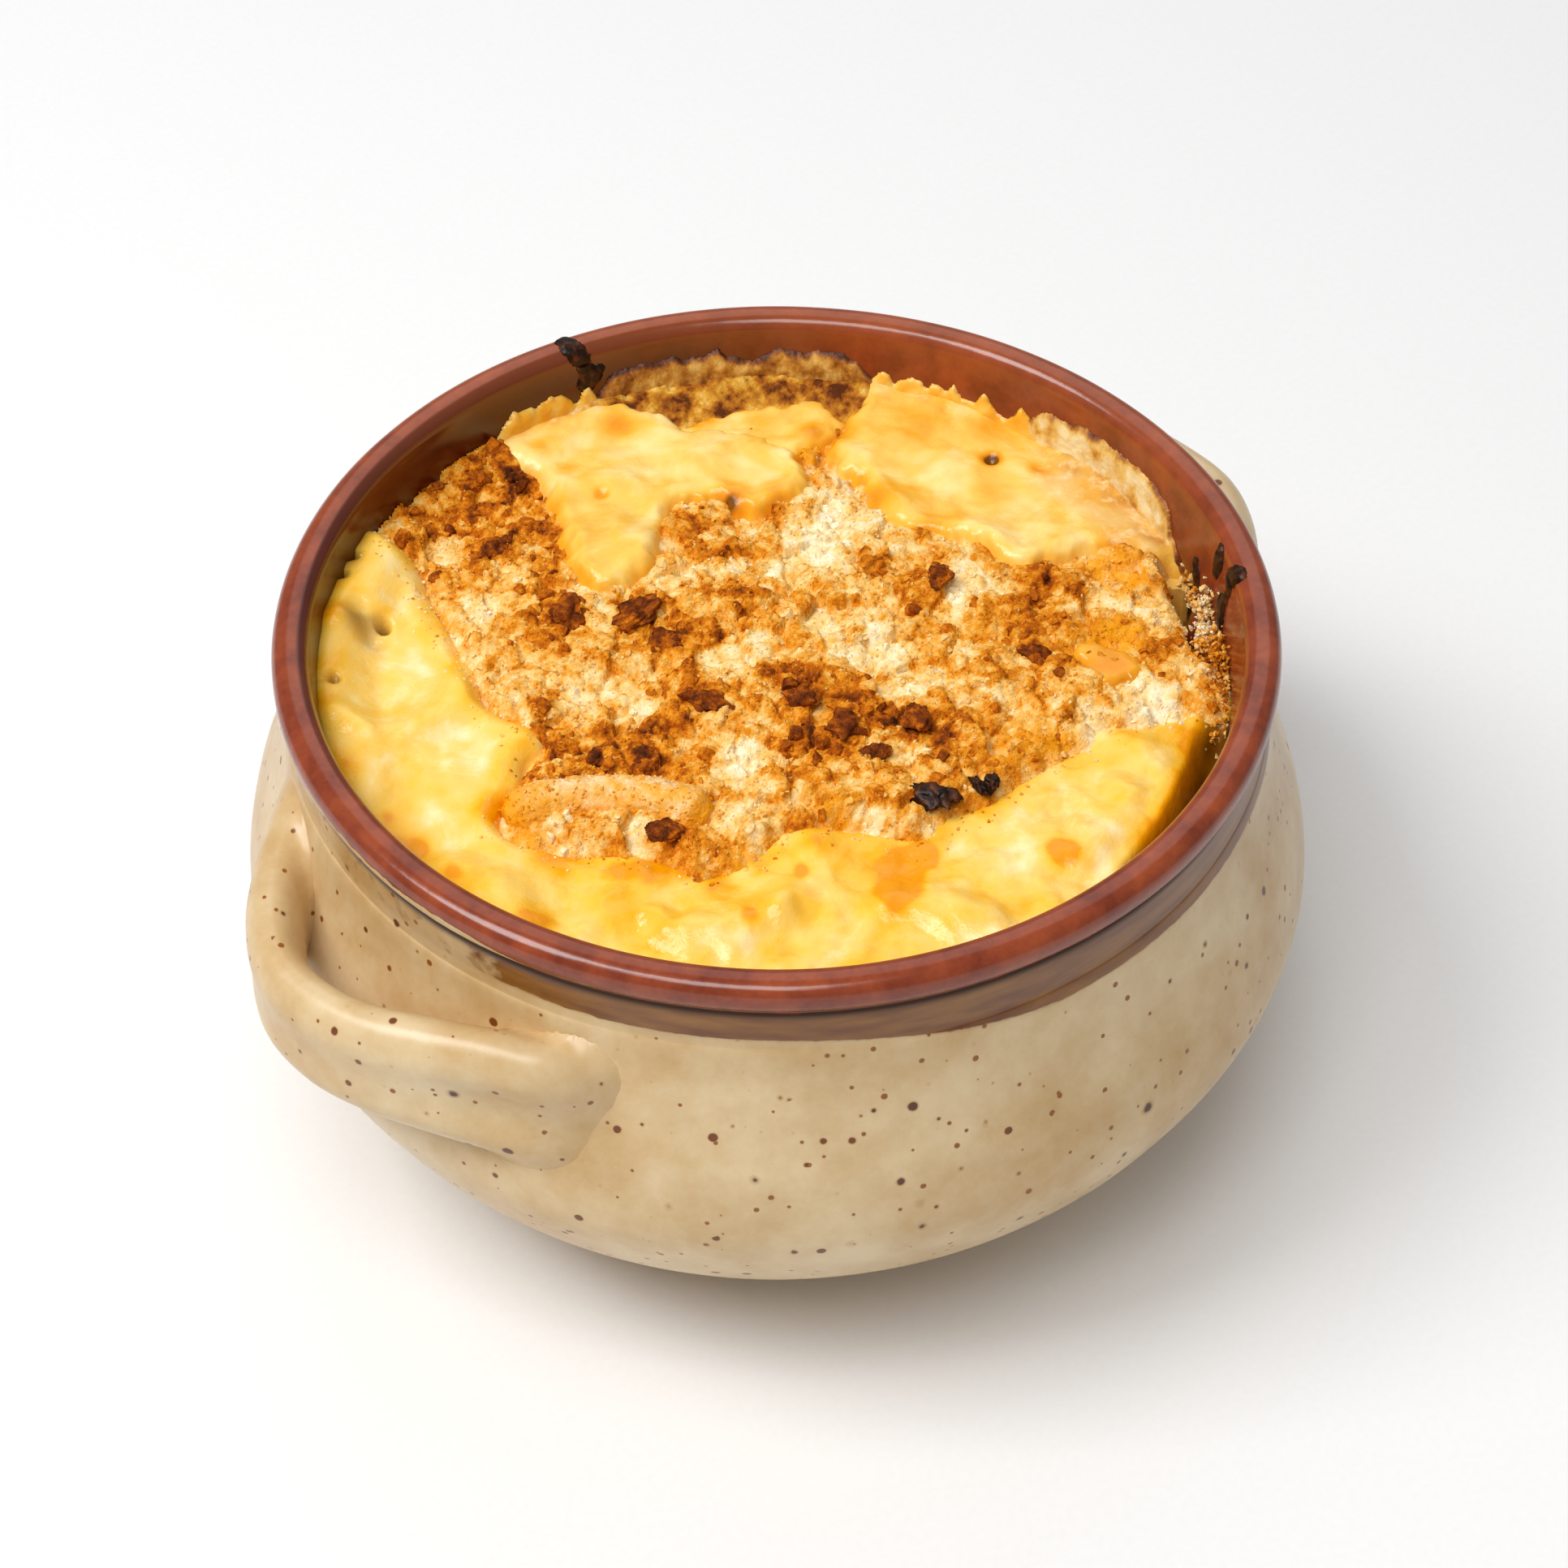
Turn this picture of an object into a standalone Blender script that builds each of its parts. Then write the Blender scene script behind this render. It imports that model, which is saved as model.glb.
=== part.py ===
"""Baked macaroni and cheese in its two-handled stoneware soup crock.

The crock is a turned body with a rolled lip, a straight neck, a round belly and a foot ring, and two strap
handles fused on. It is full of macaroni bound in cheese, with a layer of toasted breadcrumbs on top and two
sheets of melted cheese over the crumbs. Units are metres, +Z is up, the origin is the centre of the foot on
the surface it stands on, and the handles lie on the X axis.
"""
import math

import bmesh
import bpy
from mathutils import Matrix, Vector, noise

# Crock
HEIGHT = 0.0748
LIP_R = 0.0602
LIP_TUBE_R = 0.0023
LIP_Z = HEIGHT - LIP_TUBE_R
GROOVE = (0.0612, 0.0699)
NECK_KNOTS = ((0.0616, 0.0690), (0.0615, 0.0640))
BELLY_KNOTS = (
    (0.0618, 0.0630), (0.0628, 0.0585), (0.0647, 0.0525), (0.0675, 0.0445), (0.0686, 0.0355),
    (0.0652, 0.0265), (0.0600, 0.0185), (0.0536, 0.0115), (0.0477, 0.0055), (0.0433, 0.0012),
)
FOOT_OUTER_R = 0.0423
FOOT_INNER_R = 0.0370
RECESS_DEPTH = 0.0015
CAVITY_KNOTS = (
    (0.05795, LIP_Z), (0.0573, 0.0680), (0.0570, 0.0635), (0.0582, 0.0585), (0.0604, 0.0525),
    (0.0627, 0.0445), (0.0634, 0.0355), (0.0604, 0.0265), (0.0545, 0.0180), (0.0460, 0.0110),
    (0.0370, 0.0074), (0.0250, 0.0065),
)
TURN_STEPS = 52

# Handles: a strap's middle as (degrees round, radius, height) and there its half thickness and half height.
# One end is a narrow root and the other a tall pad pressed against the belly, hollowed by a thumb.
STRAP_KNOTS = (
    (-30.0, 0.0585, 0.0555, 0.0040, 0.0060), (-24.0, 0.0617, 0.0552, 0.0038, 0.0062),
    (-17.0, 0.0664, 0.0540, 0.0038, 0.0066), (-11.0, 0.0704, 0.0532, 0.0038, 0.0072),
    (-5.0, 0.0731, 0.0523, 0.0038, 0.0079), (1.0, 0.0731, 0.0522, 0.0039, 0.0081),
    (7.0, 0.0717, 0.0528, 0.0042, 0.0082), (13.0, 0.0693, 0.0530, 0.0045, 0.0088),
    (19.0, 0.0671, 0.0527, 0.0046, 0.0095), (24.0, 0.0655, 0.0520, 0.0045, 0.0096),
    (28.0, 0.0628, 0.0516, 0.0042, 0.0092), (31.5, 0.0585, 0.0516, 0.0038, 0.0086),
)
STRAP_SECTIONS = 20
STRAP_SIDES = 12
STRAP_SQUARENESS = 0.85
THUMB_GROOVE = 0.0009
THUMB_WIDTH = 0.45
THUMB_HOLLOW = 0.0014
HOLLOW_PLACE, HOLLOW_REACH = 0.74, 0.12

# Food. Its layout is drawn as (right, back) from the side it is served from; the handles are turned from it.
SERVED_TURN = math.radians(-41.0)
GAP = 0.0003
WALL_CLEAR_R = 0.0565
GRID_HALF = 0.0600
GRID_CELLS = 30
PASTA_LEVEL = 0.0626
DOME = 0.0010
BARE_RISE = 0.0016
LEFT_EDGE = -0.043
LEFT_SLOPE = 0.25
FRONT_EDGE = -0.034
FRONT_SLOPE = 0.35
BARE_SOFT = 0.008
# How far the food climbs the wall at the back and the left, and has shrunk from it at the right
WALL_RISE = (
    (-180, 0.0034), (-150, 0.0010), (-110, 0.0), (-45, 0.0), (-33, -0.0045), (-14, -0.0045), (-6, -0.0004),
    (2, -0.0004), (8, -0.0050), (17, -0.0050), (26, 0.0), (36, 0.0048), (90, 0.0054), (128, 0.0046),
    (150, 0.0026), (165, 0.0040), (180, 0.0034),
)
CLIMB_FROM_R = 0.0490
SHRUNK_FROM_R = 0.0525
SHRUNK_TO_R = 0.0550
CRUMB_THICK = 0.0024
CRUMB_EDGE_THIN = 0.5
UNDER_MELT_THIN = 0.4
UNDER_MELT_FROM = 0.022
MELT_THICK = 0.0018
MELT_EDGE_THIN = 0.6
EDGE_WIDTH = 0.0050
EDGE_RAGGED = 0.02
WAVE = 0.0005
CRAG = 0.0008

CRUMB_OUTLINE = (
    (0.0560, -0.0060), (0.0504, -0.0065), (0.0435, -0.0101), (0.0383, -0.0127), (0.0320, -0.0165),
    (0.0262, -0.0218), (0.0205, -0.0245), (0.0170, -0.0282), (0.0100, -0.0268), (0.0010, -0.0273),
    (-0.0042, -0.0320), (-0.0092, -0.0345), (-0.0148, -0.0312), (-0.0240, -0.0306), (-0.0318, -0.0284),
    (-0.0333, -0.0258), (-0.0303, -0.0225), (-0.0312, -0.0185), (-0.0287, -0.0135), (-0.0351, -0.0081),
    (-0.0384, -0.0015), (-0.0415, 0.0060), (-0.0452, 0.0125), (-0.0478, 0.0185), (-0.0560, 0.0240),
    (-0.0480, 0.0420), (-0.0280, 0.0580), (0.0000, 0.0640), (0.0280, 0.0580), (0.0460, 0.0380),
    (0.0510, 0.0215), (0.0528, 0.0130), (0.0520, 0.0065), (0.0570, 0.0020),
)
LEFT_MELT_OUTLINE = (
    (-0.0375, 0.0430), (-0.0318, 0.0480), (-0.0240, 0.0512), (-0.0177, 0.0505), (-0.0125, 0.0476),
    (-0.0048, 0.0464), (0.0009, 0.0432), (0.0040, 0.0390), (0.0036, 0.0348), (0.0005, 0.0316),
    (-0.0040, 0.0303), (-0.0098, 0.0329), (-0.0142, 0.0304), (-0.0149, 0.0241), (-0.0162, 0.0182),
    (-0.0205, 0.0146), (-0.0250, 0.0162), (-0.0278, 0.0213), (-0.0293, 0.0300), (-0.0325, 0.0375),
)
RIGHT_MELT_OUTLINE = (
    (0.0068, 0.0433), (0.0110, 0.0490), (0.0132, 0.0548), (0.0209, 0.0525), (0.0310, 0.0472),
    (0.0390, 0.0407), (0.0460, 0.0325), (0.0503, 0.0245), (0.0495, 0.0216), (0.0435, 0.0232),
    (0.0384, 0.0214), (0.0324, 0.0184), (0.0282, 0.0202), (0.0248, 0.0244), (0.0176, 0.0264),
    (0.0142, 0.0295), (0.0110, 0.0365),
)

# Macaroni: an elbow's size, and where bumps of it push up the cheese, as (right, back, turn)
ELBOW_R = 0.0034
ELBOW_BEND_R = 0.0150
ELBOW_ARC = math.radians(80.0)
ELBOW_STEPS = 6
ELBOW_BUMPS = (
    (-0.0505, 0.0120, 1.2), (-0.0440, -0.0100, 0.6), (-0.0330, -0.0380, 2.3), (-0.0060, -0.0430, 0.2),
    (0.0200, -0.0400, 2.8), (0.0400, -0.0270, 0.9), (0.0460, -0.0150, 2.2),
)
BUMP_HEIGHT = 0.0016
CRUSTED_ELBOW = (-0.0215, -0.0225, 0.0660)
CRUSTED_TURN = math.radians(-4.0)
OPEN_ELBOW = (-0.0525, 0.0050, 0.0640)
OPEN_TURN = math.radians(81.0)
OPEN_ARC = math.radians(50.0)
OPEN_END = (-0.0506, 0.0080, 0.0640)
OPEN_END_R = 0.0013
OPEN_END_DEPTH = 0.0040

# Flakes of crust standing proud of the crumbs, as (right, back, length)
FLAKES = (
    (-0.0266, 0.0095, 0.0062), (-0.0178, 0.0102, 0.0078), (-0.0141, 0.0049, 0.0052),
    (-0.0083, -0.0069, 0.0058), (0.0033, -0.0070, 0.0050), (0.0083, -0.0113, 0.0056),
    (0.0173, -0.0099, 0.0054), (0.0189, -0.0225, 0.0056), (0.0245, -0.0205, 0.0044),
    (0.0326, 0.0032, 0.0060), (-0.0367, 0.0219, 0.0058), (0.0208, 0.0150, 0.0048),
    (0.0412, 0.0017, 0.0070), (-0.0134, -0.0290, 0.0060),
)
FLAKE_WIDTH = 0.75
FLAKE_FLATNESS = 0.40
FLAKE_ROUGHNESS = 0.35
FLAKE_PROUD = 0.0002
SCATTERED_FLAKES = 14
SCATTERED_LENGTH = 0.0036
SCATTERED_OVER = (0.0330, 0.0205)
FLAKE_SPACING = 0.0050
GOLDEN_ANGLE = math.radians(137.508)


def clear_scene():
    for item in list(bpy.data.objects):
        bpy.data.objects.remove(item, do_unlink=True)


def collection(name):
    made = bpy.data.collections.new(name)
    bpy.context.scene.collection.children.link(made)
    return made


def srgb(code):
    """A colour from its sRGB hex code, as linear RGBA."""
    parts = [int(code[i:i + 2], 16) / 255 for i in (0, 2, 4)]
    return [p / 12.92 if p <= 0.04045 else ((p + 0.055) / 1.055) ** 2.4 for p in parts] + [1.0]


def material(name, code, roughness):
    made = bpy.data.materials.new(name)
    made.use_nodes = True
    surface = made.node_tree.nodes["Principled BSDF"]
    surface.inputs["Base Color"].default_value = srgb(code)
    surface.inputs["Roughness"].default_value = roughness
    surface.inputs["Metallic"].default_value = 0.0
    made.diffuse_color = srgb(code)
    return made


def object_of(name, mesh, home, finish=None):
    made = bpy.data.objects.new(name, mesh)
    home.objects.link(made)
    if finish:
        mesh.materials.append(finish)
    return made


def mesh_from(name, bm):
    """Turns a bmesh into a mesh with its faces pointing out."""
    bmesh.ops.recalc_face_normals(bm, faces=bm.faces[:])
    mesh = bpy.data.meshes.new(name)
    bm.to_mesh(mesh)
    bm.free()
    return mesh


def boolean(target, operation, cutter=None, group=None):
    """Adds a Boolean to the target, with one cutter or all of a collection."""
    step = target.modifiers.new(operation.title(), "BOOLEAN")
    step.operation = operation
    step.solver = "EXACT"
    if group:
        step.operand_type = "COLLECTION"
        step.collection = group
    else:
        step.object = cutter


def apply_modifiers(item):
    """Replaces the object's mesh with its evaluated one."""
    depsgraph = bpy.context.evaluated_depsgraph_get()
    baked = bpy.data.meshes.new_from_object(item.evaluated_get(depsgraph))
    item.modifiers.clear()
    item.data = baked


def as_cutter(item):
    item.hide_render = True
    item.display_type = "WIRE"
    return item


def spline_point(before, start, end, after, t):
    """A point of a Catmull-Rom curve between start and end."""
    return tuple(
        0.5 * (2 * b + (c - a) * t + (2 * a - 5 * b + 4 * c - d) * t * t + (3 * b - a - 3 * c + d) * t ** 3)
        for a, b, c, d in zip(before, start, end, after)
    )


def open_curve(knots, count):
    """Points at even steps of a smooth curve through the knots."""
    padded = [knots[0], *knots, knots[-1]]
    spans = len(knots) - 1
    points = []
    for step in range(count):
        place = step * spans / (count - 1)
        span = min(int(place), spans - 1)
        points.append(spline_point(*padded[span:span + 4], place - span))
    return points


def closed_curve(knots, per_span):
    """Points round a smooth closed curve through the knots."""
    total = len(knots)
    return [
        spline_point(*(knots[(i + shift) % total] for shift in (-1, 0, 1, 2)), step / per_span)
        for i in range(total)
        for step in range(per_span)
    ]


def nearest(u, v, places):
    """The distance to the nearest of some places."""
    return min(math.hypot(u - place[0], v - place[1]) for place in places)


CRUMB_EDGE = closed_curve(CRUMB_OUTLINE, 3)
MELT_EDGES = closed_curve(LEFT_MELT_OUTLINE, 3) + closed_curve(RIGHT_MELT_OUTLINE, 3)


def turned(name, profile, home, finish=None):
    """A solid of revolution round Z: the profile starts on the axis and runs down its outer side."""
    mesh = bpy.data.meshes.new(name)
    mesh.from_pydata([(r, 0.0, z) for r, z in profile], [(i, i + 1) for i in range(len(profile) - 1)], [])
    made = object_of(name, mesh, home, finish)
    screw = made.modifiers.new("Turn", "SCREW")
    screw.steps = screw.render_steps = TURN_STEPS
    screw.use_merge_vertices = True
    screw.merge_threshold = 1e-5
    return made


def crock_profile():
    """The crock's outside, from the mouth's middle over the lip, neck and belly to the foot."""
    lip = [
        (LIP_R + LIP_TUBE_R * math.cos(a), LIP_Z + LIP_TUBE_R * math.sin(a))
        for a in (math.radians(180 - 30 * i) for i in range(8))
    ]
    belly = open_curve(BELLY_KNOTS, 14)
    foot = [(FOOT_OUTER_R, 0.0), (FOOT_INNER_R, 0.0), (FOOT_INNER_R - RECESS_DEPTH, RECESS_DEPTH)]
    return [(0.0, LIP_Z), *lip, GROOVE, *NECK_KNOTS, *belly, *foot, (0.0, RECESS_DEPTH)]


def cavity_profile(shrink, top):
    """The crock's inside, made smaller by the shrink, closed at the given height."""
    wall = [(r - shrink, z) for r, z in open_curve(CAVITY_KNOTS, 13)]
    floor = CAVITY_KNOTS[-1][1] + shrink
    inner = [(r, max(z, floor)) for r, z in wall]
    return [(0.0, top), (inner[0][0], top), *inner, (0.0, floor)]


def strap_section(centre, half_thickness, half_height, outward, share):
    """One ring of the strap: an oval with a groove outside, deepened where the thumb pressed the pad."""
    hollow = THUMB_GROOVE + THUMB_HOLLOW * math.exp(-((share - HOLLOW_PLACE) / HOLLOW_REACH) ** 2)
    ring = []
    for i in range(STRAP_SIDES):
        a = 2 * math.pi * i / STRAP_SIDES
        side, rise = math.cos(a), math.sin(a)
        reach = half_thickness * side - hollow * max(0.0, side) ** 2 * math.exp(-(rise / THUMB_WIDTH) ** 2)
        lift = half_height * math.copysign(abs(rise) ** STRAP_SQUARENESS, rise)
        ring.append(centre + outward * reach + Vector((0, 0, lift)))
    return ring


def strap(name, turn, home):
    """A loop handle: oval sections along the strap's line, closed at both ends inside the body."""
    knots = [
        (r * math.cos(math.radians(a)), r * math.sin(math.radians(a)), *section)
        for a, r, *section in STRAP_KNOTS
    ]
    line = open_curve(knots, STRAP_SECTIONS)
    bm = bmesh.new()
    rings = []
    for i, (x, y, z, half_thickness, half_height) in enumerate(line):
        ahead, behind = line[min(i + 1, len(line) - 1)], line[max(i - 1, 0)]
        outward = Vector((ahead[1] - behind[1], behind[0] - ahead[0], 0)).normalized()
        share = i / (len(line) - 1)
        section = strap_section(Vector((x, y, z)), half_thickness, half_height, outward, share)
        rings.append([bm.verts.new(place) for place in section])
    for first, second in zip(rings, rings[1:]):
        for i in range(STRAP_SIDES):
            j = (i + 1) % STRAP_SIDES
            bm.faces.new((first[i], first[j], second[j], second[i]))
    bm.faces.new(rings[0])
    bm.faces.new(rings[-1][::-1])
    bmesh.ops.rotate(bm, verts=bm.verts[:], cent=(0, 0, 0), matrix=Matrix.Rotation(turn, 3, "Z"))
    return object_of(name, mesh_from(name, bm), home)


def make_crock(home, cutters, finish):
    """The body with both straps joined on, then hollowed out."""
    crock = turned("crock", crock_profile(), home, finish)
    for name, turn in (("strap_left", math.pi), ("strap_right", 0.0)):
        boolean(crock, "UNION", as_cutter(strap(name, turn, cutters)))
    cavity = turned("cavity", cavity_profile(0.0, 1.1 * HEIGHT), cutters)
    boolean(crock, "DIFFERENCE", as_cutter(cavity))


def ramp(value, low, high):
    """0 below low, 1 above high, smooth between."""
    t = min(max((value - low) / (high - low), 0.0), 1.0)
    return t * t * (3 - 2 * t)


def wall_rise(angle):
    """How far the food climbs the wall, or sinks beside it, at an angle in degrees."""
    for (a, low), (b, high) in zip(WALL_RISE, WALL_RISE[1:]):
        if a <= angle <= b:
            return low + (high - low) * ramp(angle, a, b)
    return 0.0


def ripple(u, v, size, seed):
    """Smooth noise between about -1 and 1, with features of the given size."""
    return noise.noise(Vector((u / size + seed, v / size - seed, seed * 1.7)))


def elbow_bump(u, v, place):
    """How far a buried elbow of macaroni lifts the cheese here."""
    du, dv = u - place[0], v - place[1]
    along = du * math.cos(place[2]) + dv * math.sin(place[2])
    across = -du * math.sin(place[2]) + dv * math.cos(place[2]) - along * along / (2 * ELBOW_BEND_R)
    half = ELBOW_BEND_R * ELBOW_ARC / 2
    return BUMP_HEIGHT * math.exp(-(across / ELBOW_R) ** 2) * (1 - ramp(abs(along), 0.6 * half, half))


def pasta_height(u, v):
    """The top of the macaroni and cheese: domed, baked up the back wall, shrunk from the right one."""
    r, angle = math.hypot(u, v), math.degrees(math.atan2(v, u))
    rise = wall_rise(angle)
    near_wall = ramp(r, CLIMB_FROM_R, WALL_CLEAR_R) if rise > 0 else ramp(r, SHRUNK_FROM_R, SHRUNK_TO_R)
    height = PASTA_LEVEL + DOME * (1 - (r / WALL_CLEAR_R) ** 2) + rise * near_wall
    bare = BARE_RISE * (1 - crumb_share(u, v))
    bumps = sum(elbow_bump(u, v, place) for place in ELBOW_BUMPS)
    return height + bare + bumps + WAVE * ripple(u, v, 0.009, 3.0)


def crumb_share(u, v):
    """About 1 under the crumbs and 0 where the cheese lies bare, at the left and the front."""
    front = FRONT_EDGE + FRONT_SLOPE * max(0.0, u)
    left = LEFT_EDGE - LEFT_SLOPE * v
    return ramp(u, left, left + BARE_SOFT) * ramp(v, front, front + BARE_SOFT)


def edge_share(u, v, edge):
    """0 at an outline and 1 a little way in from it."""
    return ramp(nearest(u, v, edge), 0.0, EDGE_WIDTH)


def crumb_height(u, v):
    """The top of the breadcrumb layer, thinner under the sheets of melted cheese and at its edge."""
    share = 1 - UNDER_MELT_THIN * ramp(v, UNDER_MELT_FROM, UNDER_MELT_FROM + BARE_SOFT)
    share *= CRUMB_EDGE_THIN + (1 - CRUMB_EDGE_THIN) * edge_share(u, v, CRUMB_EDGE)
    crags = CRAG * (ripple(u, v, 0.0045, 7.0) + 0.6 * ripple(u, v, 0.0100, 11.0))
    return pasta_height(u, v) + GAP + share * (CRUMB_THICK + crags)


def melt_height(u, v):
    """The top of the sheets of melted cheese, thinner at their edges."""
    share = MELT_EDGE_THIN + (1 - MELT_EDGE_THIN) * edge_share(u, v, MELT_EDGES)
    return crumb_height(u, v) + GAP + MELT_THICK * share + WAVE * ripple(u, v, 0.008, 17.0)


def served(u, v):
    """From the layout's (right, back) to X and Y."""
    c, s = math.cos(SERVED_TURN), math.sin(SERVED_TURN)
    return c * u - s * v, s * u + c * v


def relief_slab(name, low, high, home, finish):
    """A square slab whose underside and top follow two height functions on one shared grid."""
    bm = bmesh.new()
    bmesh.ops.create_grid(bm, x_segments=GRID_CELLS, y_segments=GRID_CELLS, size=GRID_HALF)
    bmesh.ops.triangulate(bm, faces=bm.faces[:])
    under = bm.verts[:]
    grown = bmesh.ops.extrude_face_region(bm, geom=bm.faces[:], use_keep_orig=True)
    top = [item for item in grown["geom"] if isinstance(item, bmesh.types.BMVert)]
    for verts, height in ((under, low), (top, high)):
        for vert in verts:
            u, v = vert.co.x, vert.co.y
            vert.co = Vector((*served(u, v), height(u, v)))
    return object_of(name, mesh_from(name, bm), home, finish)


def mesh_of_curve(name, curve, home):
    """A mesh object of the curve's surface, its caps welded to its sides."""
    shown = object_of(name + "_curve", curve, home)
    depsgraph = bpy.context.evaluated_depsgraph_get()
    mesh = bpy.data.meshes.new_from_object(shown.evaluated_get(depsgraph))
    bpy.data.objects.remove(shown, do_unlink=True)
    bm = bmesh.new()
    bm.from_mesh(mesh)
    bmesh.ops.remove_doubles(bm, verts=bm.verts[:], dist=1e-6)
    return object_of(name, mesh_from(name, bm), home)


def prism(name, outline, home):
    """An upright block with the given outline, kept clear of the crock's wall."""
    points = []
    for u, v in closed_curve(outline, 3):
        wobble = 1 + EDGE_RAGGED * ripple(u, v, 0.003, 23.0)
        reach = min(1.0, WALL_CLEAR_R / (wobble * math.hypot(u, v)))
        points.append(served(u * wobble * reach, v * wobble * reach))
    curve = bpy.data.curves.new(name, "CURVE")
    curve.dimensions = "2D"
    curve.fill_mode = "BOTH"
    curve.extrude = HEIGHT
    spline = curve.splines.new("POLY")
    spline.points.add(len(points) - 1)
    for point, (x, y) in zip(spline.points, points):
        point.co = (x, y, 0, 1)
    spline.use_cyclic_u = True
    return as_cutter(mesh_of_curve(name, curve, home))


def elbow(name, place, turn, arc, home):
    """A bent tube of macaroni, lying flat."""
    u, v, z = place
    curve = bpy.data.curves.new(name, "CURVE")
    curve.dimensions = "3D"
    curve.bevel_depth = ELBOW_R
    curve.bevel_resolution = 2
    curve.use_fill_caps = True
    spline = curve.splines.new("POLY")
    spline.points.add(ELBOW_STEPS)
    for i, point in enumerate(spline.points):
        a = arc * (i / ELBOW_STEPS - 0.5)
        along, across = ELBOW_BEND_R * math.sin(a), ELBOW_BEND_R * (math.cos(a) - 1)
        du = along * math.cos(turn) - across * math.sin(turn)
        dv = along * math.sin(turn) + across * math.cos(turn)
        point.co = (*served(u + du, v + dv), z, 1)
    return mesh_of_curve(name, curve, home)


def flake(name, u, v, length, seed, home):
    """A flat angular chip, tilted, sunk a little way into the crumbs."""
    bm = bmesh.new()
    bmesh.ops.create_icosphere(bm, subdivisions=1, radius=length / 2)
    for vert in bm.verts:
        rough = 1 + FLAKE_ROUGHNESS * noise.noise(vert.co * 2.3 / length + Vector((seed, 0, 0)))
        vert.co = Vector((vert.co.x * rough, FLAKE_WIDTH * vert.co.y * rough, FLAKE_FLATNESS * vert.co.z))
    tilt = Matrix.Rotation(0.35 * math.sin(seed * 2.1), 4, "X") @ Matrix.Rotation(seed * 1.9, 4, "Z")
    bm.transform(Matrix.Translation((*served(u, v), crumb_height(u, v) + FLAKE_PROUD)) @ tilt)
    return object_of(name, mesh_from(name, bm), home)


def flake_places():
    """The flakes that show best, then smaller ones spread evenly over the open crumbs."""
    places = list(FLAKES)
    for i in range(SCATTERED_FLAKES):
        share = math.sqrt((i + 0.5) / SCATTERED_FLAKES)
        u = SCATTERED_OVER[0] * share * math.cos(i * GOLDEN_ANGLE)
        v = SCATTERED_OVER[1] * share * math.sin(i * GOLDEN_ANGLE)
        if nearest(u, v, FLAKES) > FLAKE_SPACING and nearest(u, v, MELT_EDGES) > FLAKE_SPACING:
            places.append((u, v, SCATTERED_LENGTH * (1 + 0.3 * math.sin(i * 1.3))))
    return places


def make_crumbs(home, cutters, finish):
    """The breadcrumb layer with its flakes and a crusted elbow of macaroni fused on."""
    def underside(u, v):
        return pasta_height(u, v) + GAP

    def just_under(u, v):
        return pasta_height(u, v) + 0.9 * GAP

    crumbs = relief_slab("crumb_crust", underside, crumb_height, home, finish)
    boolean(crumbs, "INTERSECT", prism("crumb_outline", CRUMB_OUTLINE, cutters))
    group = collection("Fused on the crumbs")
    elbow("crusted_elbow", CRUSTED_ELBOW, CRUSTED_TURN, ELBOW_ARC, group)
    for i, (u, v, length) in enumerate(flake_places()):
        flake(f"flake_{i:02d}", u, v, length, i + 1.0, group)
    boolean(crumbs, "UNION", group=group)
    below = relief_slab("below_crumbs", lambda u, v: 0.0, just_under, cutters, None)
    boolean(crumbs, "DIFFERENCE", as_cutter(below))
    apply_modifiers(crumbs)
    for item in list(group.objects):
        bpy.data.objects.remove(item, do_unlink=True)
    bpy.data.collections.remove(group)


def make_pasta(home, cutters, finish):
    """The macaroni and cheese that fills the crock, with one open elbow end at the left."""
    pasta = relief_slab("mac_and_cheese", lambda u, v: -GAP, pasta_height, home, finish)
    open_elbow = elbow("open_elbow", OPEN_ELBOW, OPEN_TURN, OPEN_ARC, cutters)
    boolean(pasta, "UNION", as_cutter(open_elbow))
    filling = turned("filling", cavity_profile(GAP, HEIGHT), cutters)
    boolean(pasta, "INTERSECT", as_cutter(filling))
    bm = bmesh.new()
    bmesh.ops.create_cone(
        bm, cap_ends=True, segments=10, radius1=OPEN_END_R, radius2=OPEN_END_R, depth=2 * OPEN_END_DEPTH
    )
    u, v, z = OPEN_END
    bm.transform(Matrix.Translation((*served(u, v), z + OPEN_END_DEPTH)))
    boolean(pasta, "DIFFERENCE", as_cutter(object_of("open_end", mesh_from("open_end", bm), cutters)))


def make_melt(name, outline, home, cutters, finish):
    """A sheet of melted cheese over the crumbs."""
    def underside(u, v):
        return crumb_height(u, v) + GAP

    melt = relief_slab(name, underside, melt_height, home, finish)
    boolean(melt, "INTERSECT", prism(name + "_outline", outline, cutters))


def main():
    clear_scene()
    dish = collection("Mac and cheese")
    cutters = collection("Cutters")
    stoneware = material("speckled stoneware glaze", "CDB68C", 0.35)
    cheese = material("melted cheese", "F2C052", 0.35)
    sauce = material("cheese sauce", "F0B440", 0.45)
    crust = material("toasted breadcrumbs", "C98A45", 0.85)
    make_crock(dish, cutters, stoneware)
    make_pasta(dish, cutters, sauce)
    make_crumbs(dish, cutters, crust)
    make_melt("cheese_melt_left", LEFT_MELT_OUTLINE, dish, cutters, cheese)
    make_melt("cheese_melt_right", RIGHT_MELT_OUTLINE, dish, cutters, cheese)
    for item in dish.objects:
        item.data.shade_smooth()


main()
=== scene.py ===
"""The look of a baked macaroni and cheese in its two-handled stoneware crock.

Shapes are drawn in millimetres as the dish is served: right, back and up from the middle of the crock's
foot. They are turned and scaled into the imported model's frame when their objects are made.
"""
import math

import bmesh
import bpy
import numpy as np
from mathutils import Matrix, Vector, noise


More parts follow.
